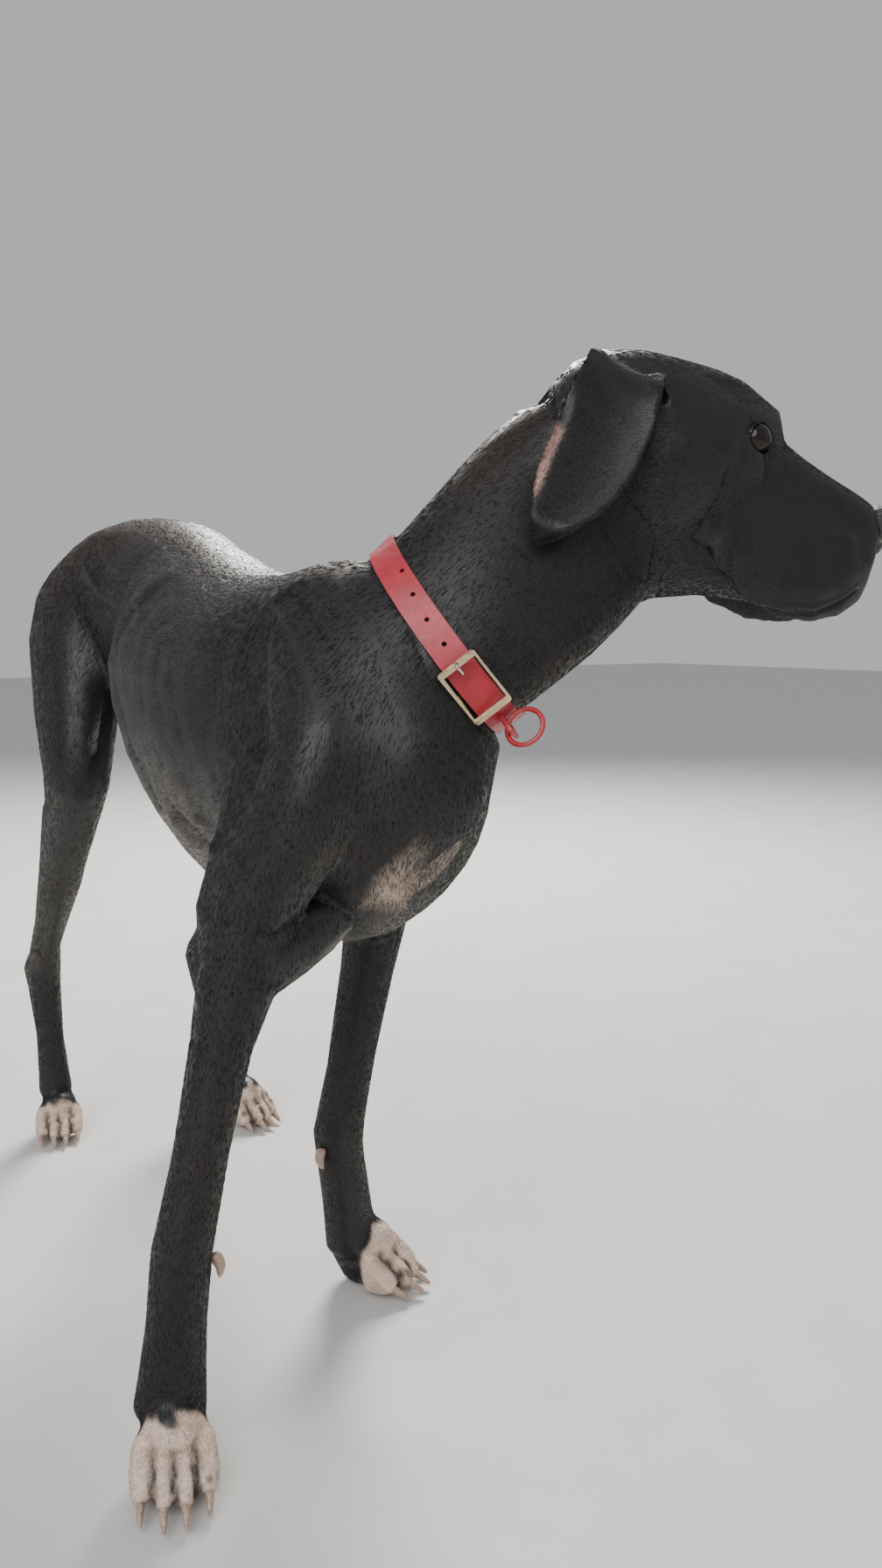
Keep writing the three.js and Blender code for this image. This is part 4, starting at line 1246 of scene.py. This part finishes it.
def point_paint(tree):
    return node(tree, "ShaderNodeAttribute", attribute_name="paint").outputs["Color"]


def object_noise(tree, scale, stretch=(1, 1, 1)):
    place = node(tree, "ShaderNodeTexCoord")
    fit = node(tree, "ShaderNodeMapping")
    fit.inputs["Scale"].default_value = stretch
    noise = node(tree, "ShaderNodeTexNoise", Scale=scale, Detail=NOISE_DETAIL)
    tree.links.new(place.outputs["Object"], fit.inputs["Vector"])
    tree.links.new(fit.outputs["Vector"], noise.inputs["Vector"])
    return noise.outputs["Fac"]


# %% Helpers that tint, roughen and pit a surface
def ranged(tree, value, low, high, start=0.3, end=0.7):
    """Stretches the middle of a noise to run from low to high."""
    ramp = node(tree, "ShaderNodeMapRange")
    ramp.inputs["From Min"].default_value = start
    ramp.inputs["From Max"].default_value = end
    ramp.inputs["To Min"].default_value = low
    ramp.inputs["To Max"].default_value = high
    tree.links.new(value, ramp.inputs["Value"])
    return ramp.outputs["Result"]


def bump(tree, shader, height, strength, distance):
    made = node(tree, "ShaderNodeBump", Strength=strength, Distance=distance)
    tree.links.new(height, made.inputs["Height"])
    tree.links.new(made.outputs["Normal"], shader.inputs["Normal"])


def roughen(tree, shader, value, low, high):
    tree.links.new(ranged(tree, value, low, high), shader.inputs["Roughness"])


def tinted(tree, shader, colour, value, low, high):
    """Multiplies a colour by a value that wanders between low and high."""
    mix = node(tree, "ShaderNodeMix", data_type="RGBA", blend_type="MULTIPLY")
    mix.inputs["Factor"].default_value = 1
    tree.links.new(colour, mix.inputs[6])
    tree.links.new(ranged(tree, value, low, high), mix.inputs[7])
    tree.links.new(mix.outputs[2], shader.inputs["Base Color"])


# %% Coat material
TINT_NOISE = 420
GLOSS_NOISE = 60
GRAIN_NOISE = 1500
SHEEN_COLOUR = (0.75, 0.66, 0.6, 1)


def coat_material(name, roughness):
    made, tree, shader = material(name, Specular_IOR_Level=0.42, Sheen_Weight=0.04, Sheen_Roughness=0.4)
    shader.inputs["Sheen Tint"].default_value = SHEEN_COLOUR
    tinted(tree, shader, point_paint(tree), object_noise(tree, TINT_NOISE), low=0.78, high=1.25)
    roughen(tree, shader, object_noise(tree, GLOSS_NOISE), *roughness)
    bump(tree, shader, object_noise(tree, GRAIN_NOISE), strength=0.12, distance=0.0003)
    return made


fur = coat_material("fur", roughness=(0.34, 0.46))
hide = coat_material("hide", roughness=(0.36, 0.5))
skin.data.materials.clear()
skin.data.materials.append(hide)
smooth(skin)
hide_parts(*flesh_nodes, "ear_right", "ear_left")
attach(skin, "root")
for piece in coat_pieces:
    piece.data.materials.append(fur)
    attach(piece, "root")
print("skin", triangles(skin), "coat", sum(triangles(piece) for piece in coat_pieces), "triangles")

# %% [markdown]
# ## Eyes
#
# The eyeball is a wet sphere that bulges a little in front, at the cornea, with a dark brown iris and a black
# pupil. Its pole points the way the dog looks, so the rings of the sphere are the rims of the iris and the
# pupil. The points carry the colours: the white and the iris are painted near black, the dog's own dark eye
# with painted shade of the socket over it.

# %% Eyes
IRIS = math.radians(33)
IRIS_RIM = (-0.05, 0.03)
PUPIL = math.radians(13)
PUPIL_RIM = (-0.03, 0.03)
PUPIL_DARKNESS = 0.97
SPOKES = 32
SPOKE_DEPTH = 0.25
CORNEA_RISE = 0.05
# the white and the iris are painted near black: painted shade of the socket over the dog's own dark eye
EYE_WHITE_IN_SHADE = np.array((0.010, 0.007, 0.006))
IRIS_BROWN_IN_SHADE = np.array((0.020, 0.0095, 0.005))
GAZE = Vector((0.72, 0.69, 0)).normalized()


# white and iris with painted shade, and a black pupil
def shaded_eye_colours(points, angle):
    iris = 1 - smooth_step(angle, IRIS + IRIS_RIM[0], IRIS + IRIS_RIM[1])
    pupil = 1 - smooth_step(angle, PUPIL + PUPIL_RIM[0], PUPIL + PUPIL_RIM[1])
    spokes = 1 + SPOKE_DEPTH * np.sin(np.arctan2(points[:, 1], points[:, 0]) * SPOKES)
    return blend(EYE_WHITE_IN_SHADE, IRIS_BROWN_IN_SHADE * spokes[:, None], iris) * (1 - PUPIL_DARKNESS * pupil)[:, None]


def eye(side, way):
    towards = head_ahead * GAZE.x + head_left * GAZE.y * way + head_up * GAZE.z
    let_go()
    bpy.ops.mesh.primitive_uv_sphere_add(segments=64, ring_count=48, radius=EYE_RADIUS)
    ball = bpy.context.object
    ball.name = f"eyeball_{side}"
    points = points_of(ball)
    angle = np.arccos(np.clip(points[:, 2] / EYE_RADIUS, -1, 1))
    points *= (1 + CORNEA_RISE * np.clip(1 - (angle / IRIS) ** 2, 0, 1))[:, None]
    move_points(ball, points)
    paint(ball, shaded_eye_colours(points, angle))
    ball.rotation_euler = towards.to_track_quat("Z", "Y").to_euler()
    ball.location = head_spot(ahead_eye, way * side_eye, up_eye)
    settle(ball)
    smooth(ball)
    return ball


wet, tree, shader = material("wet_eye", Roughness=0.05, Specular_IOR_Level=0.35)
tinted(tree, shader, point_paint(tree), object_noise(tree, scale=900), low=0.8, high=1.2)
for side, way in SIDES.items():
    ball = eye(side, way)
    ball.data.materials.append(wet)
    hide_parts(f"eye_{side}")
    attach(ball, "root")
    print(ball.name, triangles(ball), "triangles")

# %% [markdown]
# ## Nose
#
# The nose leather is one soft, pebbled pad with a nostril in each half. Its solid is melted finely and
# relaxed, which rounds the edges. Strokes carve the nostrils, and the pebbles are a cell pattern in the
# finish.

# %% Nose
NOSE_VOXEL = 0.0009
NOSE_PULL = 0.5
NOSE_ROUNDS = 14
NOSE_STROKES = {
    "philtrum": ([(322, 0, -14), (324, 0, -30), (318, 0, -48)], -1.4, 1.7),
    "nostril": ([(312, 13, -22), (304, 18, -24), (296, 21, -20)], -2.6, 2.6),
    "wing": ([(316, 15, -12), (306, 21, -12), (296, 23, -12)], 1.2, 3.5),
}
nose = join("nose_leather", [copy_node("nose")])
finish_modifier(nose, "REMESH", mode="VOXEL", voxel_size=NOSE_VOXEL, adaptivity=0)
relax(nose, np.full(len(nose.data.vertices), NOSE_PULL), NOSE_ROUNDS)
points, normals = points_of(nose), normals_of(nose)
for line, height, reach in NOSE_STROKES.values():
    stroke(points, normals, beside(head_mm(points)), line, height, reach)
move_points(nose, points)
smooth(nose)
print("nose", triangles(nose), "triangles")

# %% Nose finish: cells for the pebbles, with painted shade in the lines between them
PEBBLES = 620.0
NOSE_BLACK = (0.0125, 0.011, 0.011)
leather, tree, shader = material("nose_leather", Specular_IOR_Level=0.55, Coat_Weight=0.35,
                                 Coat_Roughness=0.25)
place = node(tree, "ShaderNodeTexCoord")
cells = node(tree, "ShaderNodeTexVoronoi", feature="DISTANCE_TO_EDGE", Scale=PEBBLES)
tree.links.new(place.outputs["Object"], cells.inputs["Vector"])
domes = ranged(tree, cells.outputs["Distance"], low=0, high=1, start=0, end=0.25)
bump(tree, shader, domes, strength=0.6, distance=0.0006)
roughen(tree, shader, object_noise(tree, scale=300), low=0.28, high=0.46)
# painted shade: darker in the lines between the pebbles, lighter on their domes
tinted(tree, shader, plain_base(tree, NOSE_BLACK), cells.outputs["Distance"], low=0.7, high=1.5)
nose.data.materials.append(leather)
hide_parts("nose")
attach(nose, "root")
print("nose finished")

# %% [markdown]
# ## Plain finishes
#
# Horn, webbing, coated wire, brass and nickel are all one colour from afar and uneven from near. One helper
# gives each of them patches of tint, patches of roughness and a fine grain of bumps, at scales of its own.

# %% A helper for uneven finishes, and horn, the first of them
def uneven(name, colour, tint, roughness, grain=None, **sockets):
    """Tint and roughness are each a noise and its range. Grain is a noise, a strength and a depth. A noise
    is a scale, and may be stretched."""
    made, tree, shader = material(name, **sockets)
    noise, *tint_range = tint
    tinted(tree, shader, plain_base(tree, colour), object_noise(tree, *noise), *tint_range)
    noise, *rough_range = roughness
    roughen(tree, shader, object_noise(tree, *noise), *rough_range)
    if grain:
        noise, strength, depth = grain
        bump(tree, shader, object_noise(tree, *noise), strength, depth)
    return made


horn = uneven(
    "horn", (0.46, 0.32, 0.245), tint=((260, (1, 1, 4)), 0.55, 1.2), roughness=((180,), 0.32, 0.5),
    grain=((900, (1, 1, 0.3)), 0.3, 0.0003), Specular_IOR_Level=0.45, Coat_Weight=0.15)
print("finish", horn.name)

# %% [markdown]
# ## Claws
#
# A claw is a curved cone of horn. The solids hold each one with few faces, and a subdivision surface on a
# copy rounds them. That draws a thin form in, so the copies are made stouter first. The claws of one paw are
# one piece, as they share their horn and their wear.

# %% Claws
CLAW_LENGTH = 0.97
CLAW_WIDTH = 1.65


def long_axis(piece):
    """The points of a piece, their middle, and the line along which they spread most, pointing up."""
    points = points_of(piece)
    middle = points.mean(axis=0)
    axis = np.linalg.svd(points - middle)[2][0]
    return points, middle, axis * np.sign(axis[2])


def stouter(piece, long, wide):
    """Stretches a claw along and across, from its root, which is its upper end."""
    points, middle, upward = long_axis(piece)
    axis = -upward
    root = middle + axis * ((points - middle) @ axis).min()
    arm = points - root
    down = (arm @ axis)[:, None] * axis
    move_points(piece, root + down * long + (arm - down) * wide)


def rounded(name, copies, nodes, levels):
    piece = join(name, copies)
    finish_modifier(piece, "SUBSURF", levels=levels, render_levels=levels)
    smooth(piece)
    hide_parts(*nodes)
    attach(piece, "root")
    return piece


claw_sets = {}
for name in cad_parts:
    kind, *where = name.split("_")
    if kind == "claw":
        claw_sets.setdefault("_".join(["claws", *where[:2]]), []).append(name)
    if kind == "dewclaw":
        claw_sets["dewclaws_" + where[0]] = [name]
for name, nodes in claw_sets.items():
    copies = [copy_node(node_name) for node_name in nodes]
    for copy in copies:
        stouter(copy, CLAW_LENGTH, CLAW_WIDTH)
    piece = rounded(name, copies, nodes, 2)
    piece.data.materials.append(horn)
print("claw pieces", sorted(claw_sets))

# %% [markdown]
# ## Collar
#
# The collar is a strap of red coated webbing with punched holes, a pale brass buckle with a nickel prong, and
# a red coated ring in a keeper. The strap's solid fits the neck exactly, so a copy of it is kept, its edges
# are bevelled, and the holes are cut with small cylinders. The buckle's side bars are made thinner, and only
# the tip of the prong is kept, because the rest of it lies under the strap.

# %% Strap
FLAT_ANGLE = math.radians(2)
STRAP_BEVEL = 0.0007
HOLE_RADIUS = 0.0021
HOLE_DEPTH = 0.009
HOLES = [(629, -1, 725), (647, -2, 706), (663, 1, 686), (677, 8, 667)]


def bevel(piece, width, segments, over, up_to):
    """Bevels edges that bend by more than one angle, and smooths those below another, in degrees."""
    finish_modifier(piece, "BEVEL", width=width, segments=segments, limit_method="ANGLE",
                    angle_limit=math.radians(over))
    smooth(piece, up_to)


strap = join("strap", [copy_node("collar_strap")])
edit_all(strap, bpy.ops.mesh.dissolve_limited, angle_limit=FLAT_ANGLE)
strap_tree = BVHTree.FromPolygons([tuple(place) for place in points_of(strap)],
                                  [tuple(polygon.vertices) for polygon in strap.data.polygons])
punches = []
for place in HOLES:
    seat, normal, _, _ = strap_tree.find_nearest(spot(*place))
    let_go()
    bpy.ops.mesh.primitive_cylinder_add(
        vertices=20, radius=HOLE_RADIUS, depth=HOLE_DEPTH, location=seat,
        rotation=normal.to_track_quat("Z", "Y").to_euler())
    punches.append(bpy.context.object)
punch = join("punch", punches)
settle(punch)
finish_modifier(strap, "BOOLEAN", operation="DIFFERENCE", object=punch, solver="EXACT")
bpy.data.objects.remove(punch)
bevel(strap, STRAP_BEVEL, segments=2, over=50, up_to=40)
finish_modifier(strap, "WEIGHTED_NORMAL", keep_sharp=True)
print("strap", triangles(strap), "triangles with", len(HOLES), "holes")

# %% Buckle, with its side bars thinned from within, and keeper
SIDE_BAR = 0.5
BUCKLE_BEVEL = 0.0009
KEEPER_BEVEL = 0.0008
buckle = join("buckle", [copy_node("collar_buckle")])
points = points_of(buckle)
middle = points.mean(axis=0)
buckle_axes = np.linalg.svd(points - middle)[2]
spread = (points - middle) @ buckle_axes.T
centre = (spread[:, 1].min() + spread[:, 1].max()) / 2
side = spread[:, 1] - centre
reach = np.abs(side)
inner = reach < (reach.min() + reach.max()) / 2
spread[inner, 1] = centre + np.sign(side[inner]) * (reach[inner] + (reach.max() - reach[inner]) * SIDE_BAR)
move_points(buckle, middle + spread @ buckle_axes)
keeper = join("keeper", [copy_node("collar_keeper")])
bevel(buckle, BUCKLE_BEVEL, segments=3, over=40, up_to=35)
bevel(keeper, KEEPER_BEVEL, segments=3, over=40, up_to=35)
print({piece.name: triangles(piece) for piece in (buckle, keeper)})

# %% Prong and ring
PRONG_SHOWS = 0.0095
PRONG_OVER_BAR = 0.003
prong = rounded("prong", [copy_node("collar_prong")], ["collar_prong"], 1)
points, middle, upward = long_axis(prong)
top = middle + upward * ((points - middle) @ upward).max()
edit_all(prong, bpy.ops.mesh.bisect, plane_co=top - upward * PRONG_SHOWS, plane_no=upward,
         clear_inner=True, use_fill=True)
move_points(prong, points_of(prong) + upward * PRONG_OVER_BAR)
ring = rounded("red_ring", [copy_node("collar_ring")], ["collar_ring"], 2)
print({piece.name: triangles(piece) for piece in (prong, ring)})

# %% Collar finishes
webbing = uneven(
    "red_webbing", (0.40, 0.020, 0.034), tint=((55,), 0.8, 1.15), roughness=((240,), 0.34, 0.52),
    grain=((1400,), 0.22, 0.0003), Specular_IOR_Level=0.5, Coat_Weight=0.25, Coat_Roughness=0.3)
coating = uneven(
    "red_coating", (0.40, 0.018, 0.026), tint=((120,), 0.8, 1.15), roughness=((300,), 0.22, 0.4),
    grain=((700,), 0.15, 0.0003), Specular_IOR_Level=0.5, Coat_Weight=0.5, Coat_Roughness=0.12)
brass = uneven(
    "brass", (0.72, 0.56, 0.36), tint=((160,), 0.75, 1.1), roughness=((420, (1, 1, 3)), 0.2, 0.36),
    grain=((1300,), 0.12, 0.0002), Metallic=1.0)
nickel = uneven(
    "nickel", (0.70, 0.69, 0.66), tint=((200,), 0.8, 1.1), roughness=((420,), 0.14, 0.28), Metallic=1.0)
for piece, finish, slot, replaced in (
    (strap, webbing, "collar_strap", "collar_strap"),
    (keeper, webbing, "collar_strap", "collar_keeper"),
    (buckle, brass, "buckle_metal", "collar_buckle"),
    (prong, nickel, "prong_metal", "collar_prong"),
    (ring, coating, "ring_coating", "collar_ring"),
):
    piece.data.materials.clear()
    piece.data.materials.append(finish)
    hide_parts(replaced)
    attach(piece, "root")
print("collar finished")

# %% [markdown]
# ## Floor and lights
#
# Black fur needs large, soft lights, because it is read from its highlights. A strong lamp high behind the
# animal draws the glints along the back, the neck and the brow, as the sun does in the photo. A broader and
# weaker one in front, and a pale sky all round, open the shadows.

# %% Floor
FLOOR_SIZE = 30
let_go()
bpy.ops.mesh.primitive_plane_add(size=FLOOR_SIZE, location=(0, 0, 0))
floor = bpy.context.object
floor.name = "floor"
floor.data.materials.append(uneven(
    "floor", (0.62, 0.61, 0.59), tint=((8,), 0.97, 1.03), roughness=((30,), 0.7, 0.85),
    Specular_IOR_Level=0.3))
print("floor", FLOOR_SIZE, "metres wide")


# %% Lights
def soft_light(name, place, target, size, power, tint=(1, 1, 1)):
    data = bpy.data.lights.new(name, "AREA")
    data.shape = "DISK"
    data.size = size
    data.energy = power
    data.color = tint
    light = bpy.data.objects.new(name, data)
    bpy.context.collection.objects.link(light)
    light.location = place
    light.rotation_euler = (Vector(target) - Vector(place)).to_track_quat("-Z", "Y").to_euler()


SKY_COLOUR = (0.86, 0.89, 0.93, 1)
SKY_STRENGTH = 0.58
world = bpy.context.scene.world or bpy.data.worlds.new("world")
bpy.context.scene.world = world
world.use_nodes = True
world.node_tree.nodes["Background"].inputs["Color"].default_value = SKY_COLOUR
world.node_tree.nodes["Background"].inputs["Strength"].default_value = SKY_STRENGTH
soft_light("key", (1.6, -2.2, 2.4), target=(0, 0, 0.6), size=3.0, power=85)
soft_light("rim", (-2.2, 1.6, 2.8), target=(0, 0, 0.7), size=1.4, power=260, tint=(1, 0.96, 0.9))
print("lights", [light.name for light in bpy.data.lights])
